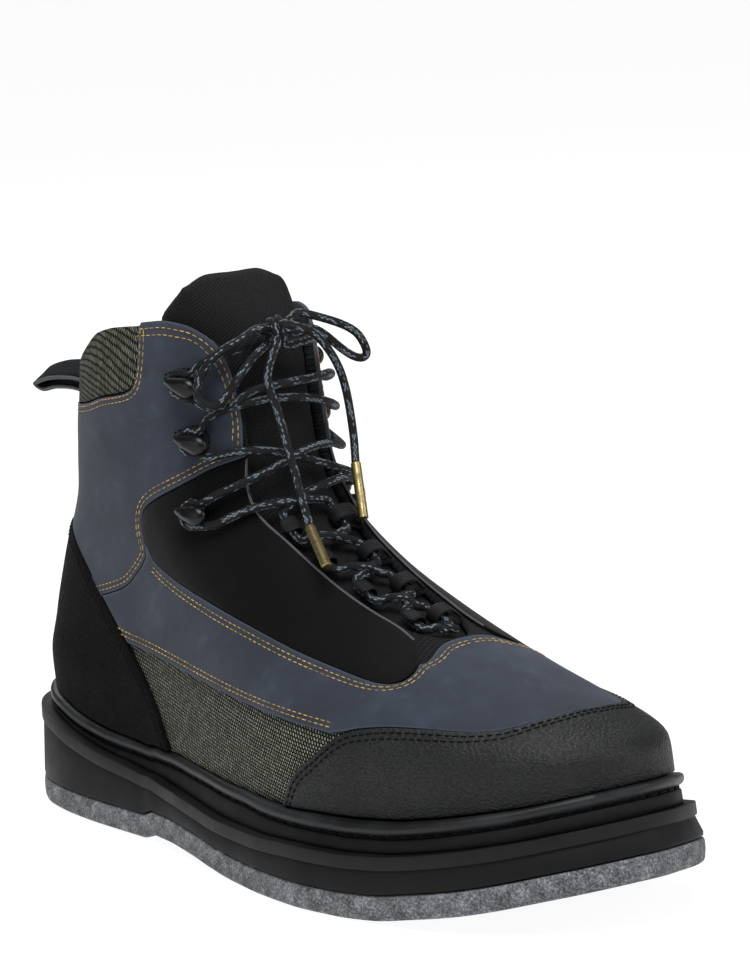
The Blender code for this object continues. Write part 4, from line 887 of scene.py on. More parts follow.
def put(name: str, build: bmesh.types.BMesh, finishes: Sequence[Finish], *replaced: str,
        sharp: float = 180.0, closed: bool = True) -> bpy.types.Object:
    """Put a finished shape in the scene as a piece of the boot.

    Args:
        name: the piece's name.
        build: its shape, in place.
        finishes: its surfaces, by material number.
        *replaced: nodes of the frame that it stands for.
        sharp: edges that turn by more degrees than this stay sharp.
        closed: the shape is closed, so that its faces are turned outwards.

    Returns:
        The piece.
    """
    if closed:
        bmesh.ops.recalc_face_normals(build, faces=build.faces)
    mesh = mesh_from(build, name)
    piece = bpy.data.objects.new(name, mesh)
    for finish in finishes:
        mesh.materials.append(finish.material())
    mesh.shade_smooth()
    if sharp < 180.0:
        mesh.set_sharp_from_angle(angle=math.radians(sharp))
    bpy.context.scene.collection.objects.link(piece)
    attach(piece, "root")
    if replaced:
        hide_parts(*replaced)
    LOG.info("%s: %d faces", name, len(mesh.polygons))
    return piece


def weld(build: bmesh.types.BMesh, dist: float) -> None:
    """Join points closer than dist, and drop what collapses."""
    bmesh.ops.remove_doubles(build, verts=build.verts, dist=dist)
    bmesh.ops.dissolve_degenerate(build, edges=build.edges, dist=1e-7)


def turn_outwards(build: bmesh.types.BMesh) -> None:
    """Turn an open surface whose faces agree so that they look away from the boot's inside."""
    inside = Vector((0.02, 0.0, 0.09))
    if sum((face.calc_center_median() - inside).dot(face.normal) for face in build.faces) < 0:
        bmesh.ops.reverse_faces(build, faces=build.faces)


def spun(profile: Sequence[Place], steps: int) -> bmesh.types.BMesh:
    """A turned shape, from a profile of (radius, height)."""
    build = bmesh.new()
    verts = [build.verts.new((radius, 0, height)) for radius, height in profile]
    edges = [build.edges.new(pair) for pair in zip(verts, verts[1:])]
    bmesh.ops.spin(build, geom=verts + edges, axis=(0, 0, 1), cent=(0, 0, 0), steps=steps,
                   angle=2 * math.pi, use_merge=True)
    bmesh.ops.remove_doubles(build, verts=build.verts, dist=1e-6)
    return build


def add_grid(build: bmesh.types.BMesh, across: np.ndarray, along: np.ndarray,
             place: Callable[[np.ndarray, np.ndarray], np.ndarray],
             flat: Callable[[np.ndarray, np.ndarray], np.ndarray] | None = None,
             finish_of: Callable[[int, int], int] | None = None) -> None:
    """Bend a grid over a surface.

    Args:
        build: bmesh that takes it.
        across: parameter of each column.
        along: parameter of each row.
        place: points of the surface at columns' and rows' parameters.
        flat: place in the UV map, in millimetres; the parameters where it is left out.
        finish_of: material number of the face at a column and row.
    """
    columns, rows = len(across) - 1, len(along) - 1
    made = bmesh.ops.create_grid(build, x_segments=columns, y_segments=rows, size=1.0)["verts"]
    flat_layer = build.loops.layers.uv.get("flat") or build.loops.layers.uv.new("flat")
    spots = np.array([vert.co[:2] for vert in made])
    i = np.rint((spots[:, 0] + 1) / 2 * columns).astype(int)
    j = np.rint((spots[:, 1] + 1) / 2 * rows).astype(int)
    points = place(across[i], along[j])
    uv = flat(across[i], along[j]) if flat else np.stack([across[i], along[j]], -1)
    number = {}
    for k, vert in enumerate(made):
        vert.co = points[k]
        number[vert] = k
    faces = {face for vert in made for face in vert.link_faces}
    for face in faces:
        corners = [number[loop.vert] for loop in face.loops]
        for loop, corner in zip(face.loops, corners):
            loop[flat_layer].uv = uv[corner]
        if finish_of:
            face.material_index = finish_of(int(min(i[c] for c in corners)),
                                            int(min(j[c] for c in corners)))


def smooth_line(points: Sequence[Sequence[float]], step: float) -> np.ndarray:
    """Smooth line through points, with evenly spaced places.

    Args:
        points: the points, hand-chosen or on a form.
        step: distance between the line's places, in metres.

    Returns:
        An array of points.
    """
    pts = np.array([tuple(p) for p in points], float)
    gap = np.linalg.norm(np.diff(pts, axis=0), axis=1)
    pts = pts[np.r_[True, gap > 1e-6]]
    pts = np.vstack([2 * pts[0] - pts[1], pts, 2 * pts[-1] - pts[-2]])
    knots = np.r_[0, np.cumsum(np.sqrt(np.linalg.norm(np.diff(pts, axis=0), axis=1)))]
    line = []
    for k in range(1, len(pts) - 2):
        t = np.linspace(knots[k], knots[k + 1], 24, endpoint=False)[:, None]
        at, near = knots[k - 1:k + 3], pts[k - 1:k + 3]

        def blend(first: np.ndarray, last: np.ndarray, start: float, end: float) -> np.ndarray:
            """Points that go from the first line to the last between two knots."""
            return ((end - t) * first + (t - start) * last) / (end - start)
        one, two, three = (blend(near[n], near[n + 1], at[n], at[n + 1]) for n in range(3))
        line.append(blend(blend(one, two, at[0], at[2]), blend(two, three, at[1], at[3]),
                          at[1], at[2]))
    return evenly(np.vstack([*line, pts[-2:-1]]), step)


def evenly(line: np.ndarray, step: float) -> np.ndarray:
    """A line with its places spaced evenly, about step apart."""
    reach = np.r_[0, np.cumsum(np.linalg.norm(np.diff(line, axis=0), axis=1))]
    count = max(2, int(round(reach[-1] / step)) + 1)
    wanted = np.linspace(0, reach[-1], count)
    return np.stack([np.interp(wanted, reach, line[:, k]) for k in range(line.shape[1])], -1)


def relaxed(line: np.ndarray, passes: int) -> np.ndarray:
    """A line with its bends eased by neighbours' means, its ends kept."""
    line = line.copy()
    for _ in range(passes):
        line[1:-1] = (line[:-2] + 2 * line[1:-1] + line[2:]) / 4
    return line


def length_of(line: np.ndarray) -> float:
    """Length of a line of points."""
    return float(np.linalg.norm(np.diff(line, axis=0), axis=1).sum())


def frames_along(line: np.ndarray, side: np.ndarray, fixed: bool) -> tuple[np.ndarray, np.ndarray]:
    """Directions square to a line.

    Args:
        line: the points.
        side: first direction of the section's x.
        fixed: keep x along side all the way, instead of carrying it along the line.

    Returns:
        The section's x and y directions at each point.
    """
    way = np.gradient(line, axis=0)
    way /= np.linalg.norm(way, axis=1, keepdims=True)
    first = np.zeros_like(line)
    current = side
    for k, ahead in enumerate(way):
        current = side if fixed else current
        current = current - ahead * (current @ ahead)
        current = current / np.linalg.norm(current)
        first[k] = current
    return first, np.cross(way, first)


def sweep(build: bmesh.types.BMesh, line: np.ndarray, section: np.ndarray,
          side: Sequence[float] | None = None, turn_unit: bool = False,
          rounded: float = 0.5) -> None:
    """Carry a closed section along a line, with closed and rounded ends.

    Args:
        build: bmesh that takes it.
        line: the points of the middle line.
        section: points of the closed section.
        side: direction of the section's x all along; carried along the line where left out.
        turn_unit: the UV map's x is the turn from 0 to 1 instead of millimetres.
        rounded: length of the rounded end, as a share of the section's half width.
    """
    way = line[1] - line[0]
    start = side if side is not None else np.cross(way, (0, 0, 1) if abs(way[2]) < 0.8
                                                   * np.linalg.norm(way) else (1, 0, 0))
    far = np.array([[0.45], [1.0]]) * np.abs(section).max() * rounded
    wide = np.array([0.80, 0.0])
    head, tail = (out / np.linalg.norm(out) for out in (line[0] - line[1], line[-1] - line[-2]))
    points = np.vstack([line[0] + far[::-1] * head, line, line[-1] + far * tail])
    scale = np.r_[wide[::-1], np.ones(len(line)), wide]
    x, y = frames_along(points, np.array(start, float), side is not None)
    ring = np.vstack([section, section[:1]])
    round_it = np.r_[0, np.cumsum(np.linalg.norm(np.diff(ring, axis=0), axis=1))]
    reach = np.r_[0, np.cumsum(np.linalg.norm(np.diff(points, axis=0), axis=1))]
    unit = round_it / round_it[-1] if turn_unit else round_it / MM

    def place(s: np.ndarray, t: np.ndarray) -> np.ndarray:
        """Points of the swept surface."""
        i, j = s.astype(int), t.astype(int)
        return points[j] + (x[j] * ring[i, :1] + y[j] * ring[i, 1:2]) * scale[j][:, None]

    def flat(s: np.ndarray, t: np.ndarray) -> np.ndarray:
        """Way round the section and along the line."""
        return np.stack([unit[s.astype(int)], reach[t.astype(int)] / MM], -1)
    add_grid(build, np.arange(len(ring), dtype=float), np.arange(len(points), dtype=float),
             place, flat)
    weld(build, 1e-7)


def disc(diameter: float, sides: int = 14) -> np.ndarray:
    """Round section."""
    turn = np.linspace(0, 2 * math.pi, sides, endpoint=False)
    return np.stack([np.cos(turn), np.sin(turn)], -1) * diameter / 2


def ribbed(width: float, thickness: float, ribs: int) -> np.ndarray:
    """Flat section with rounded edges and ribs on both of its faces."""
    across = np.linspace(-1, 1, 8 * ribs + 1)
    body = np.sqrt(np.clip(1 - across ** 8, 0.0, 1.0))
    height = thickness / 2 * body * (0.82 + 0.18 * np.abs(np.sin(across * ribs * math.pi / 2)))
    top = np.stack([across * width / 2, height], -1)
    return np.vstack([top, (top * (1, -1))[-2:0:-1]])


def curve_through(points: Sequence[Place], spacing: float) -> list[Place]:
    """Smooth line through listed places of an outline, with places about spacing apart."""
    pts, line = np.array(points, float), []
    for k in range(len(pts) - 1):
        before, after = pts[max(k - 1, 0)], pts[min(k + 2, len(pts) - 1)]
        first, last = pts[k], pts[k + 1]
        steps = max(1, round(float(np.linalg.norm(last - first)) / spacing))
        for t in np.arange(steps) / steps:
            point = 0.5 * (2 * first + (last - before) * t
                           + (2 * before - 5 * first + 4 * last - after) * t * t
                           + (3 * first - before - 3 * last + after) * t ** 3)
            line.append((float(point[0]), float(point[1])))
    return line + [tuple(points[-1])]


def shifted(points: Sequence[Place], distance: float) -> list[Place]:
    """An outline moved sideways on the form, to its left along the way it runs."""
    line = np.array(points, float)
    way = np.vstack([line[1] - line[0], line[2:] - line[:-2], line[-1] - line[-2]])
    way /= np.linalg.norm(way, axis=1, keepdims=True)
    return [(float(p[0] - w[1] * distance), float(p[1] + w[0] * distance))
            for p, w in zip(line, way)]


def joined(*runs: Sequence[Place]) -> list[Place]:
    """One closed outline from runs that end where the next starts."""
    outline: list[Place] = []
    for run in runs:
        for point in run:
            if not outline or math.dist(point, outline[-1]) > MEETING:
                outline.append(point)
    if math.dist(outline[0], outline[-1]) < MEETING:
        outline.pop()
    return outline


def mirrored(line: Sequence[Place], side: Side) -> np.ndarray:
    """A line of places on one side of the boot."""
    return np.array(line, float) * (side.value, 1)


def within(places: np.ndarray, outline: np.ndarray) -> np.ndarray:
    """Whether each place lies inside an outline."""
    hit = np.zeros(len(places), bool)
    for (x1, y1), (x2, y2) in zip(outline, np.roll(outline, -1, axis=0)):
        crosses = (y1 > places[:, 1]) != (y2 > places[:, 1])
        if y1 != y2:
            hit ^= crosses & (places[:, 0] < x1 + (places[:, 1] - y1) * (x2 - x1) / (y2 - y1))
    return hit


def nearest(points: np.ndarray, line: np.ndarray) -> np.ndarray:
    """Distance from each point to the nearest point of a line."""
    return np.concatenate([np.linalg.norm(part[:, None] - line[None], axis=2).min(1)
                           for part in np.array_split(points, max(1, len(points) // 400))])


def unrolled(around: np.ndarray, up: np.ndarray, origin: float) -> np.ndarray:
    """Places in millimetres when the last is unrolled from the line around = origin."""
    share = np.linspace(0, 1, 20)[:, None]
    rows = LAST.place(origin + (around - origin) * share, np.broadcast_to(up, (20, len(up))))
    across = np.linalg.norm(np.diff(rows, axis=0), axis=2).sum(0) * np.sign(around - origin)
    heights = np.linspace(0, 1.3, 261)
    column = LAST.place(np.full(261, origin), heights)
    reach = np.r_[0, np.cumsum(np.linalg.norm(np.diff(column, axis=0), axis=1))]
    return np.stack([across, np.interp(up, heights, reach)], -1) / MM


@dataclass
class Panel:
    """A piece of the upper that lies on the last inside an outline."""
    name: str
    outlines: Sequence[Sequence[Place]]
    finish: Finish
    edge: Finish | None = None
    base: float = 0.0008
    thickness: float = 0.0013
    grid: float = 0.0021
    bevel: float = 0.0004
    origin: float = 0.0
    puff: float = 0.0
    puff_width: float = 0.006

    def places(self, outline: Sequence[Place]) -> tuple[np.ndarray, np.ndarray]:
        """An outline, refined to the grid's spacing, and the even places inside it."""
        closed = np.vstack([outline, outline[:1]])
        rim = [closed[:1]]
        for first, last in zip(closed[:-1], closed[1:]):
            ends = LAST.place(*np.stack([first, last], -1))
            count = max(1, int(np.linalg.norm(ends[1] - ends[0]) / self.grid + 0.5))
            share = (np.arange(count) + 1)[:, None] / count
            rim.append(first + (last - first) * share)
        rim = np.vstack(rim)[:-1]
        low, high = rim.min(0), rim.max(0)
        rows = np.arange(low[1], high[1], self.grid / 0.135)
        inner = []
        for k, up in enumerate(rows):
            around = np.linspace(low[0], high[0], 500)
            line = LAST.place(around, np.full(500, up))
            reach = np.r_[0, np.cumsum(np.linalg.norm(np.diff(line, axis=0), axis=1))]
            wanted = np.arange(self.grid * (0.25 + 0.5 * (k % 2)), reach[-1], self.grid)
            inner.append(np.stack([np.interp(wanted, reach, around),
                                   np.full(len(wanted), up)], -1))
        inner = np.vstack(inner)
        inner = inner[within(inner, rim)]
        gap = nearest(LAST.place(*inner.T), LAST.place(*rim.T))
        return rim, inner[gap > 0.55 * self.grid]

    def fill(self, build: bmesh.types.BMesh, outline: Sequence[Place]) -> None:
        """Add the surface inside one outline."""
        rim, inner = self.places(outline)
        both = np.vstack([rim, inner]) * (2.4, 1.0)
        count = len(rim)
        flat, _, faces, *_ = delaunay_2d_cdt([Vector(p) for p in both],
                                             [(k, (k + 1) % count) for k in range(count)],
                                             [list(range(count))], 1, 1e-7)
        spots = np.array([tuple(p) for p in flat]) / (2.4, 1.0)
        edge = nearest(LAST.place(*spots.T), LAST.place(*rim.T))
        roll = 1 - np.sqrt(1 - (1 - np.clip(edge / self.puff_width, 0.0, 1.0)) ** 2)
        points = LAST.place(*spots.T, self.base - self.puff * roll)
        uv = unrolled(spots[:, 0], spots[:, 1], self.origin)
        flat_layer, edge_layer = build.loops.layers.uv["flat"], build.verts.layers.float["edge"]
        verts = [build.verts.new(point) for point in points]
        for k, vert in enumerate(verts):
            vert[edge_layer] = float(edge[k] / MM)
        for corners in faces:
            face = build.faces.new([verts[k] for k in corners])
            for loop, k in zip(face.loops, corners):
                loop[flat_layer].uv = uv[k]
        bmesh.ops.delete(build, geom=[v for v in verts if not v.link_faces], context="VERTS")

    def make(self, *replaced: str) -> bpy.types.Object:
        """Build and dress the panel.

        Args:
            *replaced: nodes of the frame that it stands for.

        Returns:
            The piece.
        """
        build = bmesh.new()
        build.loops.layers.uv.new("flat")
        build.verts.layers.float.new("edge")
        for outline in self.outlines:
            self.fill(build, outline)
        build.normal_update()
        turn_outwards(build)
        piece = put(self.name, build, [self.finish, self.edge or self.finish], *replaced,
                    closed=False)
        wall = piece.modifiers.new("thickness", "SOLIDIFY")
        wall.thickness = self.thickness
        wall.offset = -1 if self.puff else 1
        wall.material_offset_rim = 1
        if self.puff:
            group = piece.vertex_groups.new(name="thickness")
            layer = piece.data.attributes["edge"].data
            for k in range(len(piece.data.vertices)):
                share = min(layer[k].value * MM / self.puff_width, 1.0)
                group.add([k], math.sqrt(1 - (1 - share) ** 2), "REPLACE")
            wall.vertex_group = group.name
            wall.thickness_vertex_group = 0.22
        else:
            round_off = piece.modifiers.new("rounded edge", "BEVEL")
            round_off.width = self.bevel
            round_off.segments = 2
            round_off.profile = 0.5
            round_off.limit_method = "ANGLE"
            round_off.angle_limit = math.radians(50)
        return piece


@dataclass
class Stitching:
    """Rows of stitches on the upper, as small raised lengths of thread that dip in at both ends."""
    finish: Finish = GOLD
    pitch: float = 0.0027
    dash: float = 0.0021
    thick: float = 0.00042

    def sew(self, build: bmesh.types.BMesh, points: np.ndarray, normals: np.ndarray) -> None:
        """Add one row.

        Args:
            build: bmesh that takes the stitches.
            points: the row's line on the surface.
            normals: outward directions along it.
        """
        reach = np.r_[0, np.cumsum(np.linalg.norm(np.diff(points, axis=0), axis=1))]
        count = int(reach[-1] / self.pitch)
        run, done = bmesh.new(), bpy.data.meshes.new("run")
        for number, middle in enumerate((np.arange(count) + 0.5) * reach[-1] / max(count, 1)):
            if number % 30 == 29:
                run.to_mesh(done)
                build.from_mesh(done)
                run.clear()
            here, out, ahead, back = (np.array([np.interp(at, reach, data[:, k]) for k in range(3)])
                                      for at, data in ((middle, points), (middle, normals),
                                                       (middle + self.dash / 2, points),
                                                       (middle - self.dash / 2, points)))
            way = (ahead - back) / max(np.linalg.norm(ahead - back), 1e-9)
            out = out - way * (out @ way)
            out /= max(np.linalg.norm(out), 1e-9)
            frame_of = Matrix(np.column_stack([way * self.dash / 2,
                                               np.cross(out, way) * self.thick / 2,
                                               out * self.thick * 0.42]).tolist()).to_4x4()
            frame_of.translation = Vector(here + out * self.thick * 0.12)
            bmesh.ops.create_uvsphere(run, u_segments=6, v_segments=5, radius=1.0,
                                      matrix=frame_of @ Matrix.Rotation(math.pi / 2, 4, "Y"))
        run.to_mesh(done)
        build.from_mesh(done)
        run.free()
        bpy.data.meshes.remove(done)

    def rows(self, name: str, lines: Sequence[np.ndarray], off: float) -> bpy.types.Object:
        """Sew rows of (around, up) places.

        Args:
            name: the piece's name.
            lines: the rows.
            off: height of the surface over the last.

        Returns:
            The stitches as one piece.
        """
        build = bmesh.new()
        for line in lines:
            line = np.array(line, float)
            self.sew(build, LAST.place(*line.T, off), LAST.normal(*line.T))
        return put(name, build, [self.finish])


def double_row(line: np.ndarray, distances: tuple[float, float], sign: int = 1) -> list[np.ndarray]:
    """Two rows beside a line, at two real distances."""
    return [LAST.aside(line, distance * sign) for distance in distances]


@dataclass
class SoleUnit:
    """Felt outsole with its studs, midsole, welt and insole."""
    columns: int = 420
    across: int = 14
    insole_across: int = 12
    stud: float = 0.0045
    stitch_steps: int = 900
    groove: tuple[float, float] = (0.0060, -0.0050)
    groove_depth: float = 0.0038
    felt_stitches: tuple[float, float] = (0.012, 0.0004)

    def turns(self) -> np.ndarray:
        """Places around the outline, -1 to 1."""
        return np.linspace(-1, 1, self.columns + 1)

    def skin(self, rings: np.ndarray, finishes: Sequence[int], across: int) -> bmesh.types.BMesh:
        """Skin a stack of rings.

        Args:
            rings: points, by ring and by place around.
            finishes: material number between each pair of rings, or one for all.
            across: rows of faces on the first and last ring's covers; 0 leaves both open.

        Returns:
            The skin.
        """
        build, around = bmesh.new(), np.arange(rings.shape[1], dtype=float)
        rings[:, -1] = rings[:, 0]

        def number(row: int) -> int:
            """Material number over a ring."""
            return finishes[min(row, len(finishes) - 1)]
        add_grid(build, around, np.arange(len(rings), dtype=float),
                 lambda s, t: rings[t.astype(int), s.astype(int)], finish_of=lambda i, j: number(j))
        half = self.columns // 2
        for row in (0, len(rings) - 1) if across else ():
            def cover(s: np.ndarray, t: np.ndarray, row: int = row) -> np.ndarray:
                """Points across a ring, from side to side."""
                i, share = s.astype(int), t[:, None]
                return rings[row, half - i] * (1 - share) + rings[row, half + i] * share
            add_grid(build, around[:half + 1], np.linspace(0, 1, across + 1), cover,
                     lambda s, t, cover=cover: cover(s, t)[:, :2] / MM,
                     lambda i, j, row=row: number(row))
        weld(build, 2e-6)
        return build

    def wall(self, profile: Sequence[tuple], finishes: Sequence[int],
             closed: bool) -> bmesh.types.BMesh:
        """Skin that a profile makes around the outline.

        Args:
            profile: rows of (inset, layer, lift, toe setback share).
            finishes: material number between each pair of rows, or one for all.
            closed: the profile comes back to its start, instead of being capped.

        Returns:
            The skin.
        """
        rows = list(profile) + ([profile[0]] if closed else [])
        return self.skin(np.stack([SOLE.ring(self.turns(), *row) for row in rows]), finishes,
                         0 if closed else self.across)

    def make(self) -> None:
        """Build every part of the sole."""
        floor, top, ledge, welt = Layer
        felt = [(0.0026, floor, 0.0, 0), (0.0012, floor, 0.0001, 0), (0.0004, floor, 0.0006, 0),
                (0.0, floor, 0.0016, 0), (-0.0002, floor, 0.0040, 0), (-0.0002, top, -0.0030, 0),
                (0.0, top, -0.0012, 0), (0.0005, top, -0.0003, 0), (0.0016, top, 0.0, 0)]
        midsole = [(0.0010, top, 0.0003, 0.1), (0.0002, top, 0.0006, 0.1), (0.0, top, 0.0018, 0.15),
                   (0.0006, ledge, -0.0060, 0.8), (0.0009, ledge, -0.0052, 0.8),
                   (0.0007, ledge, -0.0049, 0.8), (0.0001, ledge, -0.0048, 0.85),
                   (0.0, ledge, -0.0044, 0.85), (0.0, ledge, -0.0005, 1),
                   (0.0001, ledge, -0.0001, 1), (0.0005, ledge, 0.0, 1), (0.0052, ledge, 0.0, 1),
                   (0.0220, ledge, 0.0, 1), (0.0221, welt, -0.0004, 1), (0.0226, welt, 0.0, 1)]
        band = [(0.0044, ledge, 0.0002, 1), (0.0042, ledge, 0.0006, 1), (0.0044, ledge, 0.0020, 1),
                (0.0048, welt, -0.0062, 1), (0.0052, welt, -0.0057, 1), (0.0062, welt, -0.0054, 1),
                (0.0062, welt, -0.0047, 1), (0.0050, welt, -0.0043, 1), (0.0042, welt, -0.0037, 1),
                (0.0038, welt, -0.0028, 1), (0.0038, welt, -0.0018, 1), (0.0042, welt, -0.0007, 1),
                (0.0054, welt, 0.0, 1), (0.0120, welt, 0.0, 1), (0.0214, welt, 0.0, 1),
                (0.0214, ledge, 0.0006, 1)]
        put("felt_outsole_surface", self.wall(felt, [0], False), [FELT], "felt_outsole")
        put("midsole_surface", self.wall(midsole, [0] * 5 + [1] * 5 + [0] * 4, False),
            [SIDE_RUBBER, LEDGE_RUBBER], "midsole", sharp=38)
        put("welt_surface", self.wall(band, [0] * 6 + [1] * 7 + [0] * 3, True),
            [SIDE_RUBBER, WELT_RUBBER], "welt", sharp=50)
        self.stitch_rings()
        self.insole()
        self.studs()

    def stitch_rings(self) -> None:
        """Black stitches in the welt's groove and dark ones in the felt's underside."""
        turns = np.linspace(-1, 1, self.stitch_steps)
        down = np.tile((0.0, 0.0, -1.0), (self.stitch_steps, 1))
        inset, lift = self.groove
        groove = SOLE.ring(turns, inset, Layer.WELT_TOP, lift, 1)
        out = groove - SOLE.ring(turns, inset + self.groove_depth, Layer.WELT_TOP, lift, 1)
        out /= np.linalg.norm(out, axis=1, keepdims=True)
        inset, lift = self.felt_stitches
        below = SOLE.ring(turns, inset, Layer.FLOOR, lift, 0)
        for name, sewing, line, facing in (
                ("welt_stitches", Stitching(BLACK_THREAD, 0.0068, 0.0058, 0.0012), groove, out),
                ("felt_stitches", Stitching(BLACK_THREAD, 0.0070, 0.0050, 0.0011), below, down)):
            build = bmesh.new()
            sewing.sew(build, line, facing)
            put(name, build, [BLACK_THREAD])

    def insole(self) -> None:
        """Insole inside the upper's foot, crowned a little between its edges."""
        rings = []
        for inset, lift in ((0.0039, 0.0010), (0.0041, 0.0034), (0.0055, 0.0040)):
            ring = LAST.place(self.turns(), 0.0, -inset)
            ring[:, 2] = SOLE.level(SOLE.along(ring[:, 0]), Layer.WELT_TOP) + lift
            rings.append(ring)
        put("insole_cloth", self.skin(np.stack(rings), [0], self.insole_across), [FOAM],
            "insole", sharp=60)

    def studs(self) -> None:
        """Steel studs, each a ring around a raised nub, flush with the felt."""
        radius = self.stud / 2
        profile = [(0, -0.0003), (0.0006, -0.0003), (0.0009, -0.0001), (0.0010, 0.0005),
                   (0.0014, 0.0005), (0.0016, -0.0001), (0.0020, -0.0002), (radius, 0.0001),
                   (radius, 0.0020), (0, 0.0020)]
        for number, (along, side) in enumerate(STUDS, 1):
            build = spun(profile, 20)
            low, high = (float(SOLE.level(np.array(along + step), Layer.FLOOR))
                         for step in (-0.01, 0.01))
            lean = -math.atan((high - low) / (0.02 * SOLE.length))
            spot = Vector((float(SOLE.x(along)), side * SOLE.width / 2,
                           float(SOLE.level(np.array(along), Layer.FLOOR))))
            bmesh.ops.transform(build, verts=build.verts,
                                matrix=Matrix.Translation(spot) @ Matrix.Rotation(lean, 4, "Y"))
            name = f"stud_{number:02d}"
            put(name + "_steel", build, [STEEL], name, sharp=40)


@dataclass
class Upper:
    """The lasted shell, the panels sewn on it, and their stitching and bindings."""
    wall: float = 0.0031
    proud: float = 0.0006
    step: float = 0.016
    overlay_face: float = 0.0021
    leather_face: float = 0.0028
    patch_rows: tuple[float, float] = (-0.0017, -0.0035)
    top_rows: tuple[float, float] = (0.0027, 0.0045)
    lip_rows: tuple[float, float] = (0.0026, 0.0043)
    band_rows: tuple[float, float] = (-0.0019, -0.0036)
    ankle_rows: tuple[float, float] = (0.0018, 0.0036)
    binding: float = 0.0040
    binding_up: float = 0.992
    binding_depth: float = 0.0019
    piping: float = 0.0011
    piping_face: float = 0.0017

    def outlines(self) -> dict[str, list[Place]]:
        """Outlines of the panels, for the side that around is above 0 on."""
        def both_sides(half: list[Place]) -> list[Place]:
            """An outline that goes on over the front centre."""
            return half + [(-around, up) for around, up in reversed(half)]

        def around_heel(half: list[Place]) -> list[Place]:
            """An outline that goes on over the heel seam."""
            return half + [(2 - around, up) for around, up in reversed(half)]
        step, rise = self.step, 0.004
        cap_half = curve_through(CAP_EDGE, step)
        foot = [(0.413 * k / 16, rise) for k in range(16)]
        counter = curve_through(COUNTER_EDGE, step)
        heel_foot = [(0.598 + 0.804 * k / 30, rise) for k in range(29, 0, -1)]
        patch = curve_through(PATCH_EDGE, step)
        rim = [(0.425 + 1.15 * k / 40, 1.002) for k in range(39, 0, -1)]
        top, sole_side = curve_through(EYESTAY_TOP, step), curve_through(EYESTAY_FOOT, step)
        throat = curve_through(THROAT_EDGE, step)
        lip, over = shifted(sole_side, SEAM * 0.5), shifted(top, SEAM * 0.5)
        band = curve_through(BAND_FOOT, step)
        cap_lip = shifted(cap_half, -SEAM * 0.5)
        back_lip = [p for p in shifted(counter, SEAM * 0.5) if p[1] > 0.256 and p[0] < 0.985]
        patch_lip = [p for p in shifted(patch, -SEAM * 0.5) if p[0] < 0.985]
        seam, ankle = 1 - 0.0012, curve_through(ANKLE_SEAM, step)
        end = ankle[-1]
        over_ankle, under_ankle = shifted(ankle, SEAM * 0.2), shifted(ankle, -SEAM * 0.2)
        quarter = joined([(seam, 0.515)], [p for p in reversed(back_lip) if p[0] > end[0] + 0.004],
                         list(reversed(over_ankle)), [p for p in reversed(lip) if p[1] > 0.582],
                         list(reversed(over)), curve_through(THROAT_CORNER, step),
                         [(0.24 + 0.17 * k / 8, 1.010) for k in range(9)], patch_lip,
                         [(seam, 0.873 - 0.02 * k) for k in range(17)])
        vamp = joined([(0.0, 0.316)], [p for p in reversed(cap_lip) if p[0] < 0.346],
                      list(reversed(band)), [p for p in back_lip if p[0] < end[0] - 0.004],
                      list(reversed(under_ankle)),
                      [p for p in lip if p[1] < 0.568 and p[0] > 0.168],
                      curve_through(VAMP_LIP, step))
        return {
            "cap": joined(both_sides(foot + cap_half[:-1] + [CAP_EDGE[-1]])[1:]),
            "counter": joined(around_heel(counter)[:-1] + [(1.402, rise)] + heel_foot),
            "patch": joined(around_heel(patch), rim),
            "eyestay": joined(throat, top, sole_side),
            "quarter": quarter,
            "vamp": joined(vamp + [(-a, up) for a, up in reversed(vamp)]),
        }

    def shell(self) -> None:
        """The hollow shell: woven side mesh outside, knitted lining inside."""
        build = bmesh.new()
        rows = np.unique(np.r_[np.linspace(0, 0.51, 30), 0.513, 0.516, 0.522,
                               np.linspace(0.53, 1.0, 34)])
        for side in Side:
            def place(s: np.ndarray, t: np.ndarray, side: Side = side) -> np.ndarray:
                """Points from the throat's edge round to the heel seam."""
                opening = LAST.opening(t)
                return LAST.place(side.value * (opening + (1 - opening) * s), t, self.proud)

            def flat(s: np.ndarray, t: np.ndarray, side: Side = side) -> np.ndarray:
                """The side view's millimetres."""
                return place(s, t, side)[:, ::2] / MM
            add_grid(build, np.linspace(0, 1, 90), rows, place, flat,
                     finish_of=lambda i, j: 0 if rows[j] < 0.27 else 1)
        bmesh.ops.remove_doubles(build, verts=build.verts, dist=5e-6)
        bmesh.ops.recalc_face_normals(build, faces=build.faces)
        turn_outwards(build)
        shell = put("upper_shell", build, [SIDE_MESH, LINING], "upper", closed=False)
        wall = shell.modifiers.new("wall", "SOLIDIFY")
        wall.thickness = self.wall
        wall.offset = -1
        wall.material_offset = 1
        wall.material_offset_rim = 1

    def panels(self) -> None:
        """The overlays."""
        shapes = self.outlines()
        Panel("toe_cap_leather", [shapes["cap"]], CAP_LEATHER, thickness=0.002,
              bevel=0.0007).make("toe_cap")
        Panel("heel_counter_leather", [shapes["counter"]], COUNTER_LEATHER, thickness=0.002,
              bevel=0.0007, origin=1.0).make("heel_counter")
        Panel("collar_patch_mesh", [shapes["patch"]], PATCH_MESH, origin=1.0,
              thickness=0.0010).make("collar_patch")
        Panel("upper_nubuck", [shapes["vamp"], *(mirrored(shapes["quarter"], side).tolist()
                                                 for side in Side)],
              BLUE, BLUE_EDGE).make("vamp", "quarter_lateral", "quarter_medial")
        for side in Side:
            word = side.name.lower()
            Panel(f"eyestay_leather_{word}", [mirrored(shapes["eyestay"], side).tolist()],
                  SMOOTH, thickness=0.0011).make(f"eyestay_{word}")

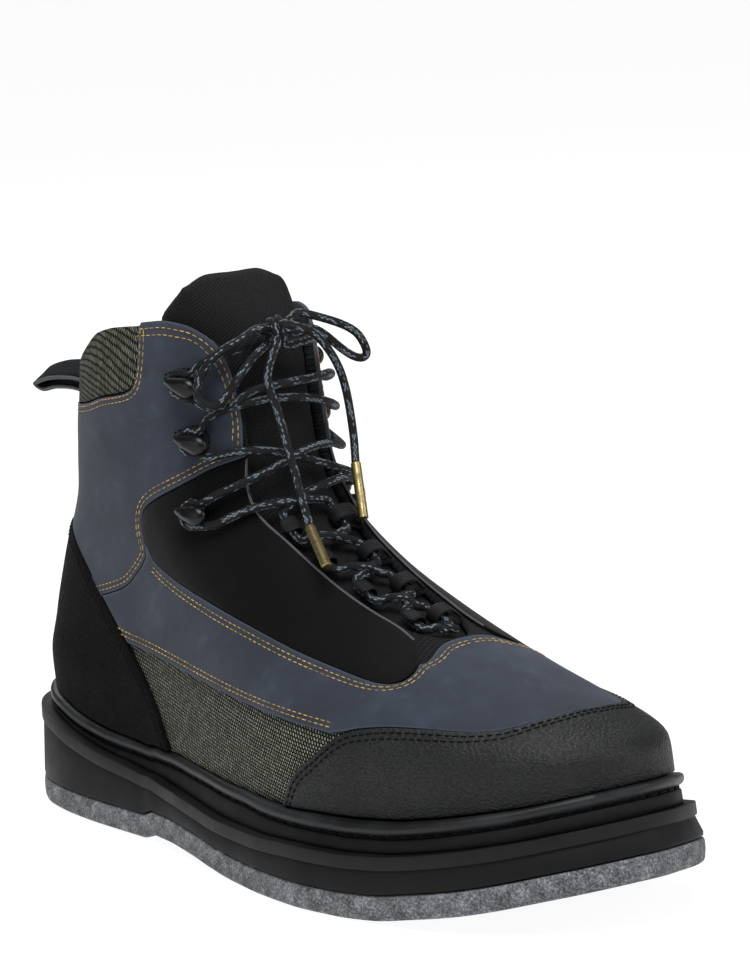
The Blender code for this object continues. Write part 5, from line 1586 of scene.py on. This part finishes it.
    def stitches(self) -> None:
        """Golden double rows on the nubuck and black ones on the cap and counter."""
        for side in Side:
            patch, top, foot, lip, band, ankle = (
                mirrored(curve_through(line, SPACING), side)
                for line in (PATCH_EDGE, EYESTAY_TOP, EYESTAY_FOOT, VAMP_LIP,
                             [(0.690, 0.256), (0.672, 0.253), *BAND_FOOT], ANKLE_SEAM))
            patch = patch[np.abs(patch[:, 0]) < 0.995]
            foot = foot[np.abs(foot[:, 0]) > 0.165]
            whole_lip = relaxed(np.vstack([foot[4:], lip[lip[:, 1] > foot[-1, 1]][:-1]]), 6)
            rows = [mirrored(curve_through(row, SPACING), side) for row in COLLAR_ROWS]
            for line, distances in ((patch, self.patch_rows), (top, self.top_rows),
                                    (whole_lip, self.lip_rows), (band, self.band_rows),
                                    (ankle, self.ankle_rows)):
                rows += double_row(line, distances, side.value)
            Stitching().rows(f"gold_stitches_{side.name.lower()}", rows, self.overlay_face)
        counter = np.array(curve_through(COUNTER_EDGE, SPACING))
        cap = np.array(curve_through(CAP_EDGE, SPACING))
        black = Stitching(BLACK_THREAD, 0.0030, 0.0023, 0.0007)
        both_caps = np.vstack([cap, cap[-2::-1] * (-1, 1)])
        both_counters = np.vstack([counter, (counter[-2::-1] * (-1, 1)) + (2, 0)])
        for name, line, sign in (("cap", both_caps, 1), ("counter", both_counters, -1)):
            black.rows(name + "_stitches", double_row(line, self.ankle_rows, sign),
                       self.leather_face)

    def bindings(self) -> None:
        """Black binding over the collar's rim, and grey piping along the throat's edges."""
        build = bmesh.new()
        around = np.r_[np.linspace(0.215, 1.0, 120), np.linspace(1.0, 1.785, 120)[1:]]
        up = np.full(len(around), self.binding_up)
        sweep(build, evenly(LAST.place(around, up, -self.binding_depth), 0.002),
              disc(self.binding, 14))
        put("collar_binding", build, [LINING])
        build = bmesh.new()
        for side in Side:
            edge = mirrored(curve_through(THROAT_EDGE, SPACING), side)
            line = evenly(LAST.place(*edge.T, self.piping_face), 0.0015)
            sweep(build, line, disc(self.piping, 8))
        put("throat_piping", build, [GREY_TAPE])

    def make(self) -> None:
        """Build the upper."""
        self.shell()
        self.panels()
        self.stitches()
        self.bindings()


@dataclass
class Tongue:
    """Padded tongue under the throat's edges."""
    wall: float = 0.0025
    thickness: float = 0.005

    def make(self) -> None:
        """Build the tongue with puffed, rolled edges."""
        half = curve_through(TONGUE_EDGE, 0.02)
        outline = joined([(-a, up) for a, up in half], list(reversed(half)))
        piece = Panel("tongue_knit", [outline], TONGUE_KNIT, base=-(self.wall + 0.0006),
                      thickness=self.thickness, puff=0.0012, grid=0.0024).make("tongue")


@dataclass
class Hardware:
    """Lace hooks, and webbing loops at the throat's edges."""
    base: float = 0.0024
    flange: float = 0.0008
    head: float = 0.0036
    head_radius: float = 0.0044
    foot_ring: float = 0.0056
    foot_steps: int = 60
    behind_edge: float = 0.032
    neck: float = HOOK_NECK
    lace: float = LACE
    clearance: float = CLEARANCE
    tape: float = 0.0012
    tape_width: float = 0.0060

    def hook(self, name: str, place: Matrix) -> None:
        """One hook: a flange, a neck, and a glossy drop-shaped head with a thin rim."""
        under, neck = self.flange + self.lace + 0.0001, self.neck / 2
        head = self.head
        wide = self.head_radius
        profile = [(0, 0), (0.0040, 0), (0.0041, 0.3 * self.flange), (0.0036, self.flange),
                   (neck, self.flange), (neck, under), (0.90 * wide, under),
                   (0.97 * wide, under + 0.08 * head), (wide, under + 0.22 * head),
                   (0.96 * wide, under + 0.42 * head), (0.86 * wide, under + 0.62 * head),
                   (0.70 * wide, under + 0.79 * head), (0.48 * wide, under + 0.92 * head),
                   (0.24 * wide, under + 0.98 * head), (0, under + head)]
        build = spun(profile, 36)
        for vert in build.verts:
            if vert.co.z > 0.99 * under and math.hypot(vert.co.x, vert.co.y) > 1.05 * neck:
                share = min(max(-vert.co.x / wide, 0.0), 1.0)
                vert.co.x = vert.co.x * (1.05 + 1.27 * share) + 0.0040
                vert.co.y *= 0.86 - 0.16 * share ** 2
        bmesh.ops.transform(build, matrix=place, verts=build.verts)
        put(name + "_lacquer", build, [LACQUER], name, sharp=50)

    def hook_stitches(self, build: bmesh.types.BMesh, around: float, up: float) -> None:
        """A drop-shaped ring of black stitches around a hook's foot."""
        frame_here = LAST.frame(around, up, 0.0021, upright=False)
        turn = np.linspace(0, 2 * math.pi, self.foot_steps)
        x, y = self.foot_ring * np.cos(turn), self.foot_ring * np.sin(turn)
        share = np.clip(-x / self.foot_ring, 0.0, 1.0)
        x, y = x * (1 + 0.75 * share), y * (1 - 0.45 * share ** 2)
        ring = np.array([tuple(frame_here @ Vector((a, b, 0.0))) for a, b in zip(x, y)])
        out = np.array(tuple(frame_here.to_3x3() @ Vector((0, 0, 1))))
        facing = np.tile(out, (self.foot_steps, 1))
        Stitching(BLACK_THREAD, 0.0020, 0.0015, 0.0006).sew(build, ring, facing)

    def loop(self, name: str, side: Side, number: int) -> None:
        """One webbing loop around the lace's turn, out from under the eyestay's edge."""
        around, up = TURNS[side][number - 1]
        reach = self.lace / 2 + 2 * self.clearance + self.tape / 2
        edge = float(LAST.opening(np.array(up))) - self.behind_edge
        frame_here = LAST.frame(side.value * around, up, 0.3 * self.lace, upright=True)
        root = frame_here.inverted() @ LAST.point(side.value * edge, up, -0.0003)
        end = min(root.x, -0.0015)
        close = min(max((-end - reach) / 0.006, 0.0), 1.0)
        upper = reach + (root.z + 0.0014 - reach) * close
        lower = -reach + (root.z - 0.0008 + reach) * close
        line = [frame_here @ Vector((x, 0, z)) for x, z in (
            (end, upper), (0.35 * end, reach), (0.2 * reach, reach), (0.8 * reach, 0.62 * reach),
            (reach, 0.0), (0.8 * reach, -0.62 * reach), (0.2 * reach, -reach),
            (0.45 * end, -reach), (end, lower))]
        build = bmesh.new()
        sweep(build, smooth_line(line, 0.0006), ribbed(self.tape_width, self.tape, 4),
              side=tuple(frame_here.to_3x3() @ Vector((0, 1, 0))))
        put(name + "_tape", build, [WEBBING], name)

    def make(self) -> None:
        """Build the hooks and the loops of both sides."""
        rings = bmesh.new()
        for side in Side:
            word = side.name.lower()
            for height, (around, up) in HOOKS[side].items():
                place = LAST.frame(side.value * around, up, self.base, upright=False)
                self.hook(f"lace_hook_{height}_{word}", place)
                self.hook_stitches(rings, side.value * around, up)
            for number in range(1, LOOPS + 1):
                self.loop(f"lace_loop_{number}_{word}", side, number)
        put("hook_stitches", rings, [BLACK_THREAD])


@dataclass
class Lacing:
    """The lace: laced part, knot, bow loops, and free ends with their tags."""
    thick: float = LACE
    drawn: float = 0.0031
    hook_neck: float = HOOK_NECK
    clearance: float = CLEARANCE
    hook_level: float = 0.0055
    tag_length: float = 0.021
    tag: float = 0.0038

    def past_hook(self, side: int, height: str) -> list[Vector]:
        """Way behind a hook's neck, from its upper to its lower side."""
        around, up = HOOKS[Side(side)][height]
        here = LAST.frame(side * around, up, self.hook_level, upright=False)
        upward = 1 if (here.to_3x3() @ Vector((0, 1, 0))).z > 0 else -1
        reach = self.hook_neck / 2 + self.clearance + self.thick / 2 + 0.0001
        return [here @ Vector((x * reach, upward * y * reach, 0)) for x, y in
                ((0.55, 1.02), (-0.35, 1.0), (-0.9, 0.55), (-1.06, 0.0), (-0.9, -0.55),
                 (-0.35, -1.0), (0.55, -1.02))]

    def past_loop(self, side: int, number: int) -> list[Vector]:
        """Turn inside a webbing loop, from its upper to its lower leg."""
        around, up = TURNS[Side(side)][number - 1]
        here = LAST.frame(side * around, up, 0.3 * self.thick, upright=True)
        half = [(1.0, 1.9, 0.15), (0.42, 1.82, 0.08), (0.11, 1.42, 0.0), (0.0, 0.80, 0.0)]
        turn = half + [(back, -rise, lift) for back, rise, lift in reversed(half)]
        return [here @ (self.thick * Vector(spot)) for spot in turn]

    def over_form(self, places: Sequence[tuple]) -> list[Vector]:
        """Points over the last, their heights in lace diameters."""
        return [LAST.point(around, up, height * self.thick) for around, up, height in places]

    def middle(self) -> Vector:
        """The knot's middle."""
        around, up, height = KNOT_PLACE
        return LAST.point(around, up, height * self.thick)

    def leaving(self, places: Sequence[tuple]) -> list[Vector]:
        """Line out of the knot, its first length square to the knot."""
        first = Vector(places[0])
        return [self.middle() + self.thick * Vector(p)
                for p in (first, 1.35 * first, *places[1:])]

    def strand(self, side: int) -> list[Vector]:
        """One half of the lace, from the knot down to the throat's foot."""
        own = Side(side)
        line = self.leaving([LEAVES[own]]) + self.over_form(FROM_KNOT[own])
        line += self.past_hook(side, "top") + self.over_form(FROM_TOP_HOOK[own])
        line += self.past_hook(-side, "mid") + self.over_form(FROM_MID_HOOK[own])
        line += self.past_hook(side, "low") + self.over_form(FROM_LOW_HOOK[own])
        here = -side
        for number in range(1, LOOPS + 1):
            line += self.past_loop(here, number)
            if number < LOOPS:
                start, end = TURNS[Side(here)][number - 1], TURNS[Side(-here)][number]
                height = (0.85 if here < 0 else 0.30) * self.thick
                first = np.array((here * (start[0] - 0.030), start[1] - 0.021))
                last = np.array((-here * (end[0] - 0.030), end[1] + 0.021))
                for share, bow in ((0.33, 0.004), (0.67, 0.006)):
                    around, up = first + (last - first) * share
                    line.append(LAST.point(float(around), float(up) + bow, height))
            here = -here
        return line + [LAST.point(0.020 * side, 0.524, 0.3 * self.thick)]

    def cord(self, name: str, line: np.ndarray, *replaced: str) -> bpy.types.Object:
        """One length of lace along a line."""
        build = bmesh.new()
        sweep(build, line, disc(self.drawn, 18), turn_unit=True)
        return put(name, build, [LACE_CORD], *replaced)

    def knot(self) -> None:
        """The bow's knot: a wrap around the crossing, and the crossing inside it."""
        build, middle = bmesh.new(), self.middle()
        way = Vector(BOW_RIGHT[0]).normalized() - Vector(BOW_LEFT[0]).normalized()
        way.normalize()
        turn = np.linspace(0, 2 * math.pi, 40)
        for lean, radius, shift in ((0.25, 0.86, 0.42), (-0.2, 0.84, -0.42)):
            axis = (way + Vector((lean, 0, 0.5 * lean))).normalized()
            first = axis.orthogonal().normalized()
            other = axis.cross(first)
            ring = [middle + self.thick * (axis * shift + radius * (first * math.cos(a)
                                                                   + other * math.sin(a)))
                    for a in turn]
            sweep(build, evenly(np.array([tuple(p) for p in ring]), 0.001),
                  disc(self.drawn, 16), turn_unit=True)
        for one, two in ((BOW_RIGHT[0], BOW_LEFT[0]), (END_RIGHT[0], LEAVES[Side.LATERAL]),
                         (END_LEFT[0], BOW_LEFT[-1]), (BOW_RIGHT[-1], LEAVES[Side.MEDIAL])):
            points = [Vector(one), 0.5 * Vector(one), 0.5 * Vector(two), Vector(two)]
            line = smooth_line([middle + self.thick * p for p in points], 0.001)
            sweep(build, line, disc(self.drawn, 16), turn_unit=True)
        put("lace_knot_wraps", build, [LACE_CORD], "lace_knot")

    def tagged_end(self, name: str, places: Sequence[tuple], tip: tuple) -> None:
        """A free end with its metal tag."""
        points = self.leaving(places)
        end = self.middle() + self.thick * Vector(tip)
        way = (end - points[-1]).normalized()
        line = smooth_line(points, 0.001)
        start = np.array(tuple(points[-1] + way * 2 * self.clearance))
        build = bmesh.new()
        reach = np.linspace(0, self.tag_length, 22)[:, None]
        sweep(build, start + np.array(tuple(way)) * reach, disc(self.tag, 20), rounded=0.25)
        tag = put(f"lace_tag_{name}_brass", build, [BRASS], f"lace_tag_{name}", sharp=40)
        cord = self.cord(f"lace_end_{name}_cord", line, f"lace_end_{name}")

    def make(self) -> None:
        """Build the lace."""
        build = bmesh.new()
        for side in (-1, 1):
            sweep(build, smooth_line(self.strand(side), 0.0011), disc(self.drawn, 18),
                  turn_unit=True)
        put("lace_cord", build, [LACE_CORD], "lace")
        self.knot()
        for name, places in (("right", BOW_RIGHT), ("left", BOW_LEFT)):
            back = self.leaving(places[::-1])[:2]
            points = self.leaving(places[:-1]) + back[::-1]
            line = relaxed(smooth_line(points, 0.001), 8)
            loop = self.cord(f"bow_loop_{name}_cord", line, f"bow_loop_{name}")
        self.tagged_end("right", END_RIGHT, TAG_RIGHT)
        self.tagged_end("left", END_LEFT, TAG_LEFT)


@dataclass
class PullTab:
    """Pull loop of folded tape behind the collar."""
    width: float = 0.011
    thick: float = 0.0015
    tilt: float = math.radians(34)
    middle_rise: float = 0.915

    def make(self) -> None:
        """Build the tape with a grey edge along its lower side."""
        points = []
        for along, rise in PULL:
            height = LAST.foot_height + LAST.rise * rise
            middle = LAST.foot_height + LAST.rise * self.middle_rise
            points.append((float(SOLE.x(along)), (middle - height) * math.tan(self.tilt), height))
        line = smooth_line(points, 0.001)
        across = np.array((0.0, math.cos(self.tilt), math.sin(self.tilt)))
        build = bmesh.new()
        sweep(build, line, ribbed(self.width, self.thick, 1), side=tuple(across))
        tape = put("pull_loop_tape", build, [PULL_TAPE], "pull_loop")
        build = bmesh.new()
        sweep(build, line - across * (self.width / 2 - 0.0003), ribbed(0.0009, self.thick * 1.1, 1),
              side=tuple(across))
        put("pull_loop_edge", build, [GREY_TAPE])
        LOG.info("%s is %.0f mm of tape", tape.name, 1000 * length_of(line))


@dataclass
class Studio:
    """Floor, soft lights and the camera."""
    place: tuple[float, float, float] = (1.313578, -0.916964, 0.406666)
    right: tuple[float, float, float] = (0.621833, 0.782304, -0.036395)
    down: tuple[float, float, float] = (0.127572, -0.147037, -0.98087)
    ahead: tuple[float, float, float] = (-0.772689, 0.605294, -0.191232)
    lens: float = 158.34
    shift: float = 0.0582
    aim: tuple[float, float, float] = (0.10, 0.0, 0.08)

    def camera(self) -> None:
        """The camera at the photograph's viewing angle."""
        data = bpy.data.cameras.new("camera")
        data.sensor_width, data.lens, data.shift_y = 36.0, self.lens, self.shift
        data.clip_start, data.clip_end = 0.05, 20.0
        item = bpy.data.objects.new("camera", data)
        turn = Matrix((self.right, [-v for v in self.down], [-v for v in self.ahead])).transposed()
        item.matrix_world = Matrix.Translation(self.place) @ turn.to_4x4()
        bpy.context.scene.collection.objects.link(item)
        bpy.context.scene.camera = item

    def light(self, name: str, place: tuple, size: float, power: float) -> None:
        """One soft square light, aimed at the boot."""
        data = bpy.data.lights.new(name, "AREA")
        data.size, data.energy = size, power
        item = bpy.data.objects.new(name, data)
        aim = (Vector(self.aim) - Vector(place)).to_track_quat("-Z", "Y")
        item.matrix_world = Matrix.Translation(place) @ aim.to_matrix().to_4x4()
        bpy.context.scene.collection.objects.link(item)

    def make(self) -> None:
        """Set the studio up."""
        self.camera()
        self.light("key", (0.80, -0.55, 2.0), 1.2, 40.0)
        self.light("side", (1.6, 0.9, 1.0), 1.0, 10.0)
        self.light("back", (-1.1, 0.5, 1.3), 1.0, 12.0)
        self.light("front", (0.4, -1.7, 0.7), 0.8, 3.0)
        world = bpy.data.worlds.new("studio")
        world.use_nodes = True
        sky = world.node_tree.nodes["Background"].inputs
        sky["Color"].default_value, sky["Strength"].default_value = linear("#f4f5f6"), 0.20
        bpy.context.scene.world = world
        bpy.context.scene.view_settings.view_transform = "Standard"
        build = bmesh.new()
        bmesh.ops.create_grid(build, x_segments=2, y_segments=2, size=12.0)
        floor = bpy.data.objects.new("floor", mesh_from(build, "floor"))
        floor.location.z = -0.0004
        paper = Patch("plain pale paper", 0.9, 0.0, 0.0)
        floor.data.materials.append(paper.finish("#808080", Emission_Color=linear("#ffffff"),
                                                 Emission_Strength=0.92))
        bpy.context.scene.collection.objects.link(floor)


def main() -> None:
    """Build every sub-assembly and report its pieces."""
    logging.basicConfig(level=logging.INFO, format="%(message)s")
    for part in (Studio(), Lacing(), SoleUnit(), Upper(), Tongue(), Hardware(), PullTab()):
        LOG.info("%s", type(part).__name__)
        part.make()


if __name__ == "__main__":
    main()
